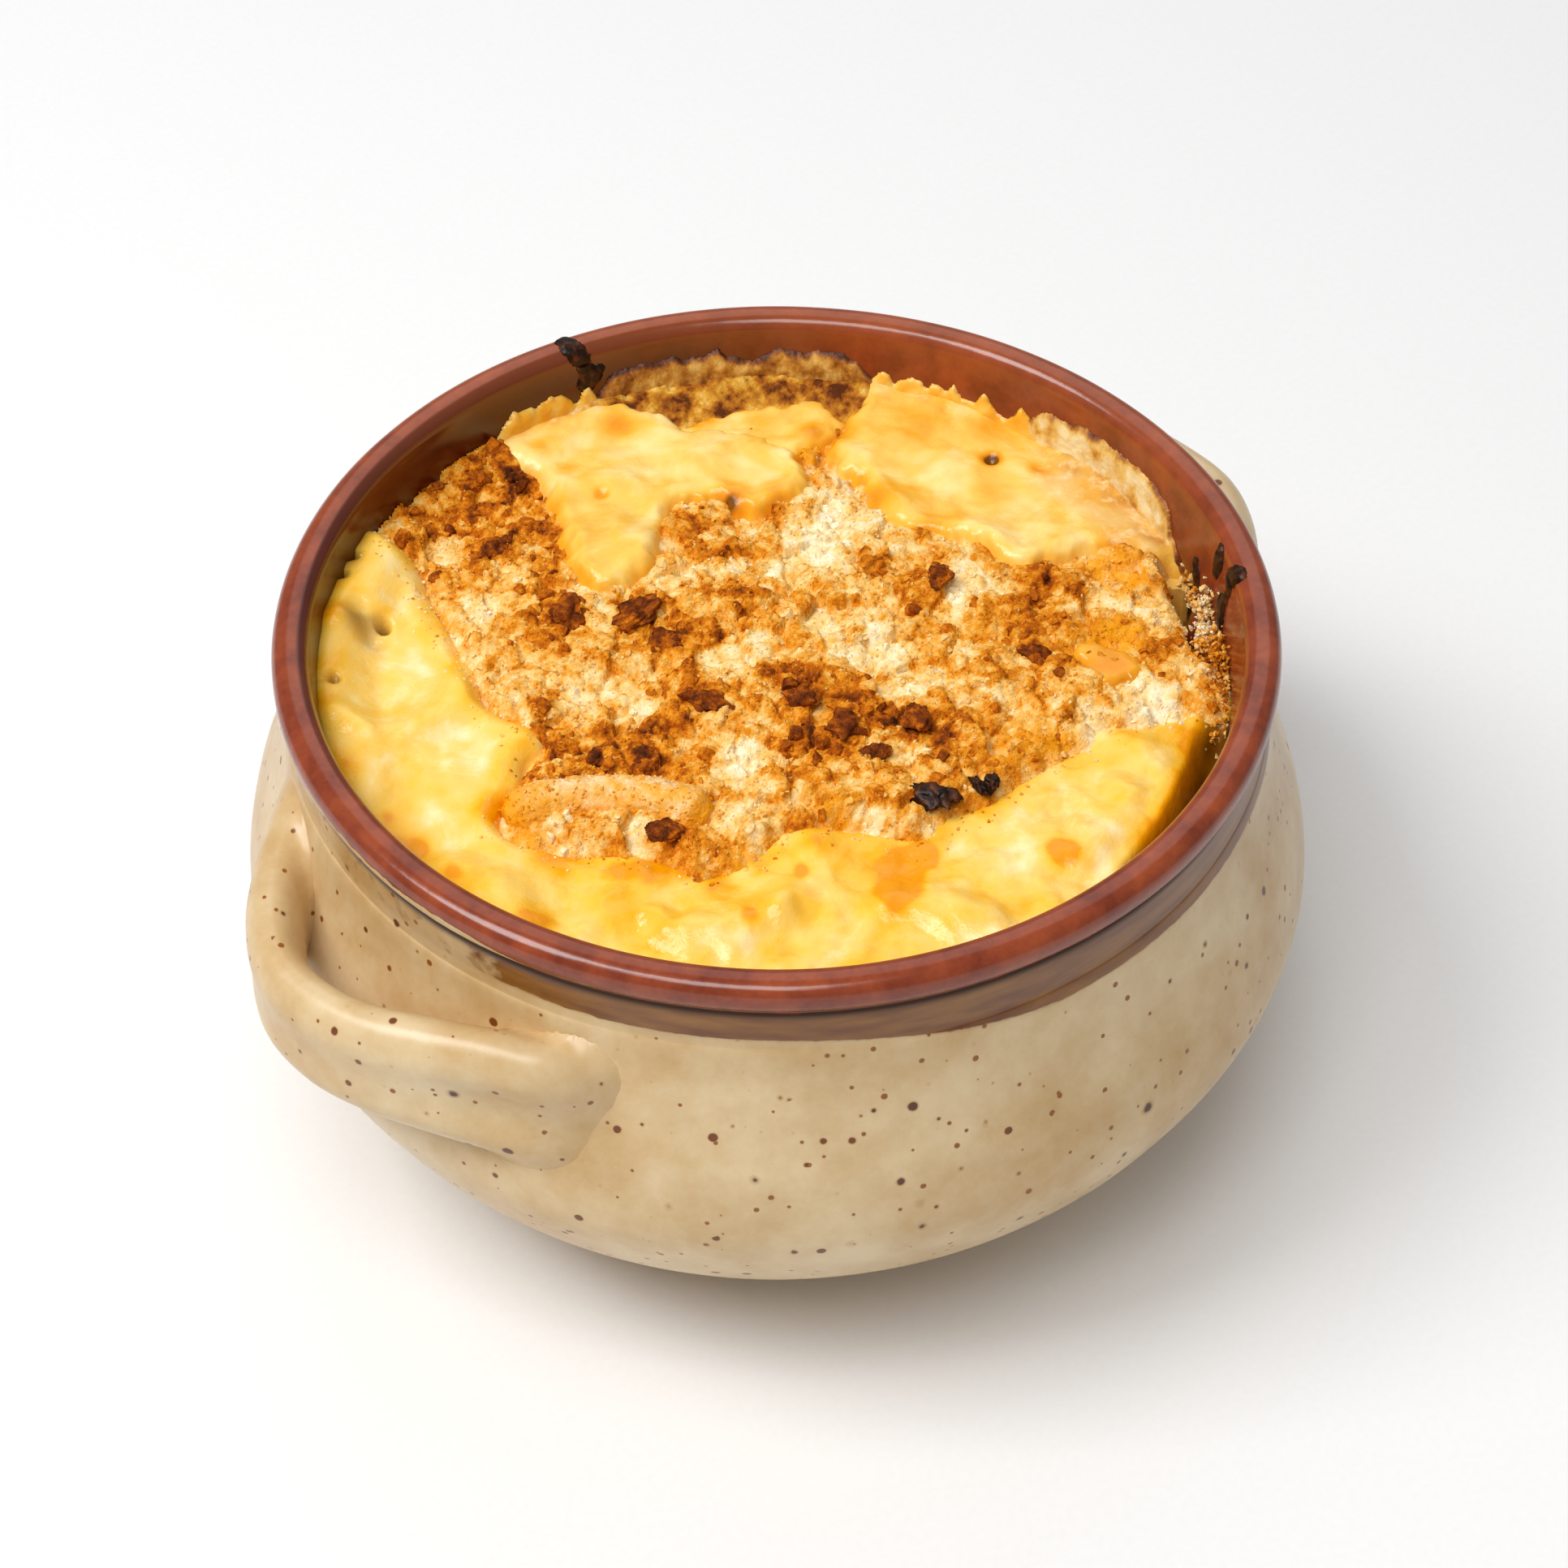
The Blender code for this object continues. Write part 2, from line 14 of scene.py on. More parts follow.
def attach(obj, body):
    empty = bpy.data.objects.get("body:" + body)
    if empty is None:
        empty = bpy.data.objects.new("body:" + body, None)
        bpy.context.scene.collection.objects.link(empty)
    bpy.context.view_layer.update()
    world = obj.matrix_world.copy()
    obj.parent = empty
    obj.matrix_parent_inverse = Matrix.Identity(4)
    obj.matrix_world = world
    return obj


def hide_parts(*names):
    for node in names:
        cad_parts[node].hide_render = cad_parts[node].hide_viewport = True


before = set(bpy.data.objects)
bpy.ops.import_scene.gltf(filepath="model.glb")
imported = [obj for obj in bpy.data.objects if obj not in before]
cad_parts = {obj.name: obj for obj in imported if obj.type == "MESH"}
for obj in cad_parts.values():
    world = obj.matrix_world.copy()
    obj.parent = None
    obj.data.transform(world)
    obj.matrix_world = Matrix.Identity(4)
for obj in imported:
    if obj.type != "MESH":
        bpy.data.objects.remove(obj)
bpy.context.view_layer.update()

# The crock: stoneware thrown on a wheel, with a rolled lip, a straight neck and a round belly on a foot
# ring. It is glazed cream with iron specks, and red-brown with an iron glaze inside and over the lip.
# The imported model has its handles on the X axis, and as served the dish is turned from that by SERVED_TURN.
SERVED_TURN = math.radians(-41.0)
MM = 0.001
# The lip's middle and the lines of the wall, as (radius, height)
LIP = (60.2, 72.5)
LIP_TUBE = 2.3
LIP_SQUARENESS = 0.86
OUTSIDE = (
    (61.25, 69.9), (61.6, 69.0), (61.55, 66.5), (61.5, 64.0), (61.8, 63.0), (62.8, 58.5), (64.7, 52.5),
    (67.5, 44.5), (68.6, 35.5), (65.2, 26.5), (60.0, 18.5), (53.6, 11.5), (47.7, 5.5), (43.3, 1.2),
    (42.6, 0.3),
)
FOOT = ((42.0, 0.0), (37.4, 0.0), (36.9, 0.3), (35.5, 1.5), (20.0, 1.5), (0.0, 1.5))
INSIDE = (
    (57.95, 72.5), (57.3, 68.0), (57.0, 63.5), (58.2, 58.5), (60.4, 52.5), (62.7, 44.5), (63.4, 35.5),
    (60.4, 26.5), (54.5, 18.0), (46.0, 11.0), (37.0, 7.4), (25.0, 6.5), (0.0, 6.5),
)
CROCK_STEPS = 320
# How far the thrown wall wavers, where it is this far out
THROWING_WOBBLE, WOBBLE_R = 0.12, 60


def smooth_line(knots, per_span):
    """Points of a Catmull-Rom curve through the knots."""
    padded = np.array([knots[0], *knots, knots[-1]], float)
    points = []
    for a, b, c, d in zip(padded, padded[1:], padded[2:], padded[3:]):
        for t in np.arange(per_span) / per_span:
            bend = (2 * a - 5 * b + 4 * c - d) * t * t + (3 * b - a - 3 * c + d) * t ** 3
            points.append(tuple(0.5 * (2 * b + (c - a) * t + bend)))
    return [*points, tuple(padded[-1])]


def places(bm):
    """Where a bmesh's points are, as one array for each axis."""
    return np.array([vert.co for vert in bm.verts]).T


def move(bm, *axes):
    """Puts a bmesh's points at new places."""
    for vert, place in zip(bm.verts, zip(*axes)):
        vert.co = place


def ripple(u, v, size, seed):
    """Smooth noise between about -1 and 1, with features of the given size."""
    points = (Vector((a / size + seed, b / size - seed, seed * 1.7)) for a, b in zip(u, v))
    return np.array([noise.noise(point) for point in points])


def ramp(value, low, high):
    """0 below low, 1 above high, smooth between."""
    t = np.clip((value - low) / (high - low), 0, 1)
    return t * t * (3 - 2 * t)


def direction(u, v):
    """Degrees round from the right, -180 to 180."""
    return np.degrees(np.arctan2(v, u))


def bell(value, middle, width):
    """1 at the middle, falling to a third at that width from it."""
    return np.exp(-((value - middle) / width) ** 2)


def turned(profile, steps):
    """A solid of revolution whose profile starts and ends on the axis: a sixteenth is spun, then doubled."""
    bm = bmesh.new()
    points = [bm.verts.new((r, 0, z)) for r, z in profile]
    edges = [bm.edges.new(pair) for pair in zip(points, points[1:])]
    bmesh.ops.spin(
        bm, geom=points + edges, cent=(0, 0, 0), axis=(0, 0, 1), angle=math.pi / 8, steps=steps // 16
    )
    for part in (8, 4, 2, 1):
        copied = bmesh.ops.duplicate(bm, geom=bm.verts[:] + bm.edges[:] + bm.faces[:])["geom"]
        fresh = [item for item in copied if isinstance(item, bmesh.types.BMVert)]
        bmesh.ops.rotate(bm, cent=(0, 0, 0), matrix=Matrix.Rotation(math.pi / part, 3, "Z"), verts=fresh)
    bmesh.ops.remove_doubles(bm, verts=bm.verts[:], dist=1e-3)
    bmesh.ops.recalc_face_normals(bm, faces=bm.faces[:])
    return bm


def piece(name, bm, finish, smooth=True, **painted):
    """An object made of a bmesh drawn in millimetres, with a value at each point for each painted name."""
    bm.transform(Matrix.Rotation(SERVED_TURN, 4, "Z") @ Matrix.Scale(MM, 4))
    mesh = bpy.data.meshes.new(name)
    bm.to_mesh(mesh)
    bm.free()
    for key, values in painted.items():
        mesh.attributes.new(key, "FLOAT", "POINT").data.foreach_set("value", np.asarray(values, np.float32))
    mesh.materials.append(finish)
    if smooth:
        mesh.shade_smooth()
    made = bpy.data.objects.new(name, mesh)
    bpy.context.scene.collection.objects.link(made)
    return made


def srgb(code):
    """A colour from its sRGB hex code, as linear RGBA."""
    parts = [int(code[i:i + 2], 16) / 255 for i in (0, 2, 4)]
    return [p / 12.92 if p <= 0.04045 else ((p + 0.055) / 1.055) ** 2.4 for p in parts] + [1.0]


def wire(tree, node, inputs):
    """Sets a node's inputs, each to a value or to the output of another node."""
    for key, value in inputs.items():
        if isinstance(value, bpy.types.NodeSocket):
            tree.links.new(value, node.inputs[key])
        else:
            node.inputs[key].default_value = value


def add(tree, kind, inputs=None, stops=(), out=0, **settings):
    """Adds a shader node with its settings, inputs and ramp stops, and gives its output. A colour mix has
    its share in input 0, its colours in 6 and 7 and its result in 2. An attribute's number is output 2."""
    made = tree.nodes.new("ShaderNode" + kind)
    for key, value in settings.items():
        setattr(made, key, value)
    wire(tree, made, inputs or {})
    for i, (place, code) in enumerate(stops):
        element = made.color_ramp.elements[i] if i < 2 else made.color_ramp.elements.new(place)
        element.position = place
        element.color = srgb(code)
    return made.outputs[out]


def new_finish(name):
    """A material with its node tree, its surface shader and the object's own coordinates."""
    made = bpy.data.materials.new(name)
    made.use_nodes = True
    tree = made.node_tree
    return made, tree, tree.nodes["Principled BSDF"], add(tree, "TexCoord", out=3)


def superround(angle):
    """A point of the lip's section: a circle, a little squared, so that it catches light on two edges."""
    c, s = math.cos(angle), math.sin(angle)
    return (
        LIP[0] + LIP_TUBE * math.copysign(abs(c) ** LIP_SQUARENESS, c),
        LIP[1] + LIP_TUBE * math.copysign(abs(s) ** LIP_SQUARENESS, s),
    )


lip_line = [superround(math.radians(a)) for a in range(-42, 181, 6)]
outer_line = smooth_line(OUTSIDE, 8)
inner_line = smooth_line(INSIDE, 6)
crock_body = turned([*reversed(FOOT), *reversed(outer_line), *lip_line, *inner_line[1:]], CROCK_STEPS)


def wall_radius(z):
    """The crock's inner wall at a height."""
    line = inner_line[::-1]
    return np.interp(z, [p[1] for p in line], [p[0] for p in line])


def outer_radius(z):
    """The crock's outside at a height."""
    line = outer_line[::-1]
    return np.interp(z, [p[1] for p in line], [p[0] for p in line])


# The handles: two flat coils of clay bent into loops and pressed on, each with a narrow root at one end
# and a wide pad hollowed by the thumb at the other. They are smoothed into the belly and glazed with it.
# Each row is the strap's direction, its middle's radius and height, and half its thickness and height.
STRAP = (
    (-30.0, 58.5, 55.5, 4.0, 6.0), (-24.0, 61.7, 55.2, 3.8, 6.2), (-17.0, 66.4, 54.0, 3.8, 6.6),
    (-11.0, 70.4, 53.2, 3.8, 7.2), (-5.0, 73.1, 52.3, 3.8, 7.9), (1.0, 73.1, 52.2, 3.9, 8.1),
    (7.0, 71.7, 52.8, 4.2, 8.2), (13.0, 69.3, 53.0, 4.5, 8.8), (19.0, 67.1, 52.7, 4.6, 9.5),
    (24.0, 65.5, 52.0, 4.5, 9.6), (28.0, 62.6, 51.4, 4.2, 8.8), (31.5, 57.5, 51.0, 3.5, 7.2),
)
THUMB_GROOVE, THUMB_WIDTH = 0.9, 0.45
THUMB_HOLLOW, HOLLOW_PLACE, HOLLOW_REACH = 1.4, 0.74, 0.12
STRAP_SIDES = 48
STRAP_SQUARENESS = 0.85
FILLET = 2.4
EDGE_SUNK = 0.35
# Directions in which the two straps' rows start from 0
HANDLE_TURNS = (221.0, 41.0)


def strap_section(point, outward, share):
    """One ring of the strap, grooved outside and hollowed by a thumb at the pad."""
    hollow = THUMB_GROOVE + THUMB_HOLLOW * bell(share, HOLLOW_PLACE, HOLLOW_REACH)
    x, y, height, half_thickness, half_height = point
    ring = []
    for i in range(STRAP_SIDES):
        side, rise = math.cos(2 * math.pi * i / STRAP_SIDES), math.sin(2 * math.pi * i / STRAP_SIDES)
        reach = half_thickness * side - hollow * max(0.0, side) ** 2 * bell(rise, 0, THUMB_WIDTH)
        lift = half_height * math.copysign(abs(rise) ** STRAP_SQUARENESS, rise)
        ring.append(Vector((x, y, height + lift)) + outward * reach)
    return ring


def add_strap(bm, turn):
    """Lofts a strap round its line, then spreads it where it nears the belly, so that it runs out."""
    knots = [(r * math.cos(math.radians(a)), r * math.sin(math.radians(a)), *rest) for a, r, *rest in STRAP]
    line = smooth_line(knots, 8)
    spin = Matrix.Rotation(math.radians(turn), 3, "Z")
    rings = []
    for i, point in enumerate(line):
        ahead, behind = line[min(i + 1, len(line) - 1)], line[max(i - 1, 0)]
        outward = Vector((ahead[1] - behind[1], behind[0] - ahead[0], 0)).normalized()
        section = strap_section(point, outward, i / (len(line) - 1))
        rings.append([bm.verts.new(spin @ place) for place in section])
    faces = []
    for first, second in zip(rings, rings[1:]):
        for i in range(STRAP_SIDES):
            j = (i + 1) % STRAP_SIDES
            faces.append(bm.faces.new((first[i], first[j], second[j], second[i])))
    faces += [bm.faces.new(rings[0]), bm.faces.new(rings[-1][::-1])]
    bmesh.ops.recalc_face_normals(bm, faces=faces)
    skin = [vert for ring in rings for vert in ring]
    for vert in skin:
        vert.normal_update()
    shifts = []
    for vert in skin:
        r = math.hypot(vert.co.x, vert.co.y)
        slope = outer_radius(vert.co.z + 0.5) - outer_radius(vert.co.z - 0.5)
        away = Vector((vert.co.x / r, vert.co.y / r, -slope)).normalized()
        depth = (r - outer_radius(vert.co.z)) * away.xy.length
        along = vert.normal - away * vert.normal.dot(away)
        share = min(max(1 - depth / FILLET, 0.0), 1.0)
        shifts.append(along * FILLET * (1 - math.sqrt(1 - share * share)) - away * EDGE_SUNK * share ** 4)
    for vert, shift in zip(skin, shifts):
        vert.co += shift


for turn in HANDLE_TURNS:
    add_strap(crock_body, turn)
u, v, z = places(crock_body)
r = np.hypot(u, v)
wobble = ripple(u + z, v - z, 30, 2.0) + 0.4 * ripple(u, v + z, 11, 5.0)
swell = 1 + THROWING_WOBBLE * wobble * ramp(z, 2, 10) / WOBBLE_R
move(crock_body, u * swell, v * swell, z)

# Where the glazes lie, in degrees round from the right. The iron glaze fills the inside and wraps the lip,
# but stops high on it at the left. A thin brown wash runs round the neck, lowest at the right, and fades at
# the left.
IRON_EDGE, BARE_LIP_RISE = 69.9, 2.6
WASH_EDGE, WASH_DROP, WASH_FADE = 65.4, 3.4, 0.75
BELOW_LIP = 69.6
BEHIND, BACK_LEFT = 85, 150
azimuth = direction(u, v) % 360
bare_lip = ramp(azimuth, 196, 210) * ramp(-azimuth, -252, -232)
iron_edge = IRON_EDGE + BARE_LIP_RISE * bare_lip + 0.25 * ripple(u, v, 4, 9.0)
inside = (r < wall_radius(z) + 1.2) & (z > INSIDE[-1][1] - 0.5)
iron = np.where(inside, 1.0, ramp(z, iron_edge - 0.5, iron_edge + 0.5))
faded = ramp(azimuth, 150, 205) * ramp(-azimuth, -256, -230)
on_neck = (r < outer_radius(z) + 0.6) & ~inside
onward = (azimuth - BACK_LEFT) % 360 + BACK_LEFT
wash_edge = WASH_EDGE - WASH_DROP * ramp(onward, 268, 306) * ramp(-onward, -425, -390)
wash = on_neck * ramp(z, wash_edge - 0.5, wash_edge + 0.5) * (1 - WASH_FADE * faded)
# Painted shade: a dark line on the neck just under the overhanging lip.
under_lip = on_neck * bell(z, BELOW_LIP, 0.55)
# Painted shade: the inside is drawn darker towards the back left.
shaded = inside * ramp(z, 57, 62) * ramp(np.cos(np.radians(azimuth - BACK_LEFT)), 0.2, 0.95)
# Painted light: the lip's crest is drawn lighter towards the back.
broken = ramp(z, 70, 73.5) * ramp(np.cos(np.radians(azimuth - BEHIND)), 0.0, 0.9)

speckled, tree, surface, coords = new_finish("iron-speckled stoneware glaze")
# Satin feldspar glaze over stoneware: cloudy cream, with iron specks up to 1.8 mm that bled as it fired.
clouds = add(tree, "TexNoise", {"Vector": coords, "Scale": 60, "Detail": 6, "Roughness": 0.65})
body = add(tree, "ValToRGB", {"Fac": clouds}, stops=((0.32, "BF985E"), (0.68, "DCC49A")))
freckle = add(tree, "TexNoise", {"Vector": coords, "Scale": 700, "Detail": 2})
# A noise texture seldom leaves this span.
NOISE_SPAN = {"From Min": 0.3, "From Max": 0.7}
# Specks of four sizes, as (cell in metres, widest speck's radius as a share of it, colour, halo's colour)
for cell, most, colour, halo in (
    (0.0015, 0.30, "8A501C", "B88C56"),
    (0.0024, 0.27, "70390C", "B58850"),
    (0.0036, 0.21, "5A2C06", "AE7E46"),
    (0.0075, 0.12, "482004", "A8763E"),
):
    voronoi = tree.nodes.new("ShaderNodeTexVoronoi")
    wire(tree, voronoi, {"Vector": coords, "Scale": 1 / cell, "Randomness": 1.0})
    chance = add(tree, "SeparateColor", {"Color": voronoi.outputs["Color"]})
    wide = add(tree, "MapRange", {"Value": chance, "From Min": 0.7, "To Min": -0.05, "To Max": most})
    gap = add(tree, "Math", {0: wide, 1: voronoi.outputs["Distance"]}, operation="SUBTRACT")
    torn = add(tree, "MapRange", {"Value": freckle, **NOISE_SPAN, "To Min": -0.02, "To Max": 0.02})
    uneven = add(tree, "Math", {0: gap, 1: torn}, operation="ADD")
    stain = add(tree, "MapRange", {"Value": uneven, "From Min": -0.06, "From Max": 0.05, "To Max": 0.7})
    core = add(tree, "MapRange", {"Value": uneven, "From Min": 0.0, "From Max": 0.045})
    stained = add(tree, "Mix", {0: stain, 6: body, 7: srgb(halo)}, out=2, data_type="RGBA")
    body = add(tree, "Mix", {0: core, 6: stained, 7: srgb(colour)}, out=2, data_type="RGBA")
# The wash is thin and streaky, so the cream shows through it.
streaks = add(tree, "Mapping", {"Vector": coords, "Scale": (1.0, 1.0, 5.0)})
streak = add(tree, "TexNoise", {"Vector": streaks, "Scale": 110, "Detail": 5})
wash_tone = add(tree, "ValToRGB", {"Fac": streak}, stops=((0.3, "683408"), (0.7, "905E1A")))
wash_here = add(tree, "Attribute", attribute_name="wash", out=2)
edge = add(tree, "TexNoise", {"Vector": coords, "Scale": 420, "Detail": 3})
rough_wash = add(tree, "Math", {0: wash_here, 1: edge}, operation="ADD")
wash_mask = add(tree, "MapRange", {"Value": rough_wash, "From Min": 0.78, "From Max": 1.12, "To Max": 0.95})
thin_wash = add(tree, "Math", {0: wash_here, 1: 0.7, 2: wash_mask}, operation="MULTIPLY_ADD", use_clamp=True)
banded = add(tree, "Mix", {0: thin_wash, 6: body, 7: wash_tone}, out=2, data_type="RGBA")
# Painted shade: the neck is drawn darker in a line just under the lip.
line_here = add(tree, "Attribute", attribute_name="under_lip", out=2)
lined = add(tree, "Mix", {0: line_here, 6: banded, 7: srgb("4A2A12")}, out=2, data_type="RGBA")
# The iron glaze is thick and glossy: drawn darker at the back left as painted shade, lighter on the back lip
# as painted light.
thickness = add(tree, "TexNoise", {"Vector": coords, "Scale": 160, "Detail": 6, "Roughness": 0.65})
iron_tone = add(
    tree, "ValToRGB", {"Fac": thickness}, stops=((0.3, "68240E"), (0.5, "87391C"), (0.72, "A04A24"))
)
# Painted shade darkens the inside at the back left, and painted light lightens the lip at the back.
for painted, most, colour in (("shaded", 0.9, "4A1606"), ("broken", 0.25, "B4602E")):
    here = add(tree, "Attribute", attribute_name=painted, out=2)
    share = add(tree, "Math", {0: here, 1: most}, operation="MULTIPLY")
    iron_tone = add(tree, "Mix", {0: share, 6: iron_tone, 7: srgb(colour)}, out=2, data_type="RGBA")
iron_here = add(tree, "Attribute", attribute_name="iron", out=2)
rough_iron = add(tree, "MapRange", {"Value": edge, **NOISE_SPAN, "To Min": -0.25, "To Max": 0.25})
iron_sum = add(tree, "Math", {0: iron_here, 1: rough_iron}, operation="ADD")
iron_mask = add(tree, "MapRange", {"Value": iron_sum, "From Min": 0.4, "From Max": 0.6})
glazed = add(tree, "Mix", {0: iron_mask, 6: lined, 7: iron_tone}, out=2, data_type="RGBA")
shine = add(tree, "MapRange", {"Value": iron_mask, "To Min": 0.32, "To Max": 0.2})
peel = add(tree, "TexNoise", {"Vector": coords, "Scale": 330, "Detail": 2})
bump = add(tree, "Bump", {"Strength": 0.12, "Distance": 0.0004, "Height": peel})
wire(tree, surface, {"Base Color": glazed, "Roughness": shine, "Normal": bump, "IOR": 1.52})

crock = piece(
    "glazed_crock", crock_body, speckled,
    iron=iron, wash=wash, under_lip=under_lip, shaded=shaded, broken=broken,
)
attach(crock, "root")
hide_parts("crock")

# The macaroni in its cheese sauce, baked until it set: smooth and wet where it lies bare at the left and the
# front, lumpy over the elbows just below, and shrunk from the wall at the right.
PASTA_LEVEL = 62.6
DOME = 1.0
PASTA_STEPS = 640
WALL_CLEAR_R = 56.5
# How far the food has climbed or sunk at the wall, as (degrees, height)
WALL_RISE = (
    (-180, 3.4), (-150, 1.0), (-110, 0.0), (-45, 0.0), (-33, -4.5), (-14, -4.5), (-6, -0.4), (2, -0.4),
    (8, -5.0), (17, -5.0), (26, 0.0), (36, 1.8), (90, 2.4), (128, 2.6), (150, 2.6), (165, 4.0), (180, 3.4),
)
CLIMB_FROM_R = 49.0
SHRUNK_FROM_R, SHRUNK_TO_R = 52.2, 55.6
GAP_DEEPER = 1.8
BARE_LIFT_LEFT, BARE_LIFT_FRONT = 2.2, 0.8
BARE_EDGE = 2.2
CALMER_LEFT = 0.65
BARE_CHEESE = (
    (-56.0, 26.0), (-51.0, 23.4), (-47.5, 21.2), (-45.4, 18.0), (-44.2, 13.0), (-42.0, 8.0), (-39.8, 3.5),
    (-38.0, 0.0), (-36.9, -4.5), (-33.9, -8.0), (-30.2, -9.6), (-28.6, -12.6), (-30.8, -15.6),
    (-31.4, -20.0), (-33.6, -26.0), (-31.0, -29.6), (-24.0, -30.8), (-15.0, -31.6), (-9.0, -34.4),
    (-4.0, -32.0), (1.0, -27.4), (10.0, -26.9), (17.0, -28.2), (20.5, -24.6), (26.2, -21.8), (32.0, -16.6),
    (38.3, -12.8), (44.0, -10.0), (51.0, -6.6), (60.0, -6.0), (60.0, -60.0), (0.0, -72.0), (-60.0, -60.0),
    (-72.0, 0.0), (-62.0, 26.0),
)
ELBOW_R, ELBOW_BEND_R, ELBOW_HALF = 3.4, 15.0, 10.5
# Buried elbows, as (right, back, turn in radians, how far each lifts the cheese)
ELBOWS = (
    (-50.5, 12.0, 1.2, 1.6), (-44.0, -10.0, 0.6, 1.6), (-33.0, -38.0, 2.3, 1.6), (-6.0, -43.0, 0.2, 1.6),
    (20.0, -40.0, 2.8, 1.6), (40.0, -27.0, 0.9, 1.6), (46.0, -15.0, 2.2, 1.4), (-50.0, -16.0, 1.9, 1.0),
    (4.0, -35.0, 1.2, 0.9), (-20.0, -40.0, 0.9, 0.9), (31.0, -36.0, 2.4, 0.8),
)
# Pits in the cheese, as (right, back, radius, depth), with painted shade down those deeper than HOLE_DEPTH
HOLE_DEPTH = 2.2
PITS = (
    (-51.6, 5.2, 2.3, 2.0), (-53.0, 8.6, 2.6, 1.6), (-50.1, 7.6, 1.15, 5.0), (-55.2, -4.1, 0.8, 3.5),
    (-54.4, 17.6, 1.1, 2.5), (-55.4, 14.0, 0.9, 2.5), (-39.5, 12.0, 1.5, 0.4), (34.0, -31.0, 2.2, 0.5),
    (3.0, -34.5, 2.0, 0.4), (15.5, -33.0, 3.4, 0.8), (-12.0, -40.5, 2.6, 0.5), (-43.0, -31.5, 2.4, 0.5),
)
# Pools of orange oil and thin sauce, as (right, back, radius, strength)
POOLS = (
    (15.0, -32.5, 5.4, 1.2), (14.5, -38.5, 4.8, 1.2), (18.0, -30.0, 3.0, 0.7), (3.0, -34.2, 2.2, 0.8),
    (-15.0, -34.0, 4.2, 0.8), (-18.0, -37.5, 3.2, 0.5), (-11.5, -41.0, 4.2, 0.6), (-3.0, -41.5, 4.0, 0.6),
    (34.2, -31.0, 3.6, 1.4), (-43.5, -31.0, 4.0, 0.9), (-47.0, -26.0, 3.2, 0.6), (-38.0, -36.5, 4.2, 0.7),
    (-28.5, -42.5, 5.0, 0.8), (-53.0, -18.0, 4.0, 0.5), (-56.0, -8.0, 3.0, 0.5), (-36.6, -6.0, 2.2, 0.6),
    (-56.5, 6.0, 2.6, 0.7), (-49.6, 9.4, 2.2, 0.6), (-45.6, 15.0, 2.0, 0.4), (51.5, -12.5, 4.4, 0.7),
    (52.0, -18.0, 3.0, 0.6), (44.0, -11.5, 4.0, 0.4), (29.0, -19.5, 4.0, 0.5), (24.0, -26.0, 4.0, 0.4),
    (-26.0, -31.5, 5.0, 0.6), (-19.5, -33.5, 4.0, 0.6), (6.0, -29.5, 5.0, 0.6), (-33.5, -24.5, 2.6, 0.7),
    (-8.0, -35.5, 3.0, 0.6), (0.0, -47.5, 4.0, 0.4), (-12.0, -47.5, 4.0, 0.4), (38.0, -38.0, 3.0, 0.2),
)
# Painted shade in the hollows round the holes at the left, in the same way
DULL = ((-53.2, 6.6, 3.0, 0.9), (-54.5, 16.0, 2.2, 0.5), (-55.2, -4.1, 1.4, 0.5), (-50.4, 4.4, 1.6, 0.4))


def by_angle(table, u, v):
    """Reads a table of (degrees, value) at each place's direction from the middle."""
    angle = direction(u, v)
    value = np.zeros_like(angle)
    for (a, low), (b, high) in zip(table, table[1:]):
        value = np.where((angle >= a) & (angle <= b), low + (high - low) * ramp(angle, a, b), value)
    return value


def spots(u, v, marks):
    """The sum of round soft marks, each given as (right, back, radius, strength)."""
    return sum(s * np.exp(-((u - a) ** 2 + (v - b) ** 2) / (0.7 * c) ** 2) for a, b, c, s in marks)


def depth_inside(u, v, outline):
    """How far each place lies inside a closed outline, negative outside it."""
    knots = [outline[-1], *outline, outline[0], outline[1]]
    edge = np.array([p for i in range(len(outline)) for p in smooth_line(knots[i:i + 4], 4)[4:8]])
    nearest = np.full(u.shape, 1e9)
    within = np.zeros(u.shape, bool)
    for (a, b), (c, d) in zip(edge, np.roll(edge, -1, axis=0)):
        length = max(math.hypot(c - a, d - b), 1e-6)
        t = np.clip(((u - a) * (c - a) + (v - b) * (d - b)) / length ** 2, 0, 1)
        nearest = np.minimum(nearest, np.hypot(u - a - t * (c - a), v - b - t * (d - b)))
        crossed = (b > v) != (d > v)
        within ^= crossed & (u < a + (v - b) / np.where(d == b, 1e-6, d - b) * (c - a))
    return np.where(within, nearest, -nearest)


def bedding(u, v):
    """The macaroni's broad surface: domed, baked up the back wall and shrunk from the right one."""
    r, rise = np.hypot(u, v), by_angle(WALL_RISE, u, v)
    climb = rise * ramp(r, CLIMB_FROM_R, WALL_CLEAR_R)
    shrink = rise * GAP_DEEPER * ramp(r, SHRUNK_FROM_R, SHRUNK_TO_R)
    level = PASTA_LEVEL + DOME * (1 - (r / WALL_CLEAR_R) ** 2) + np.where(rise > 0, climb, shrink)
    return level + 0.5 * ripple(u, v, 9, 3.0)


def elbow_bumps(u, v):
    """How far the buried elbows of macaroni lift the cheese."""
    total = np.zeros_like(u)
    for right, back, turn, height in ELBOWS:
        du, dv = u - right, v - back
        along = du * math.cos(turn) + dv * math.sin(turn)
        across = -du * math.sin(turn) + dv * math.cos(turn) - along ** 2 / (2 * ELBOW_BEND_R)
        length = 1 - ramp(abs(along), 0.6 * ELBOW_HALF, ELBOW_HALF)
        total += height * np.exp(-(across / ELBOW_R) ** 2) * length
    return total


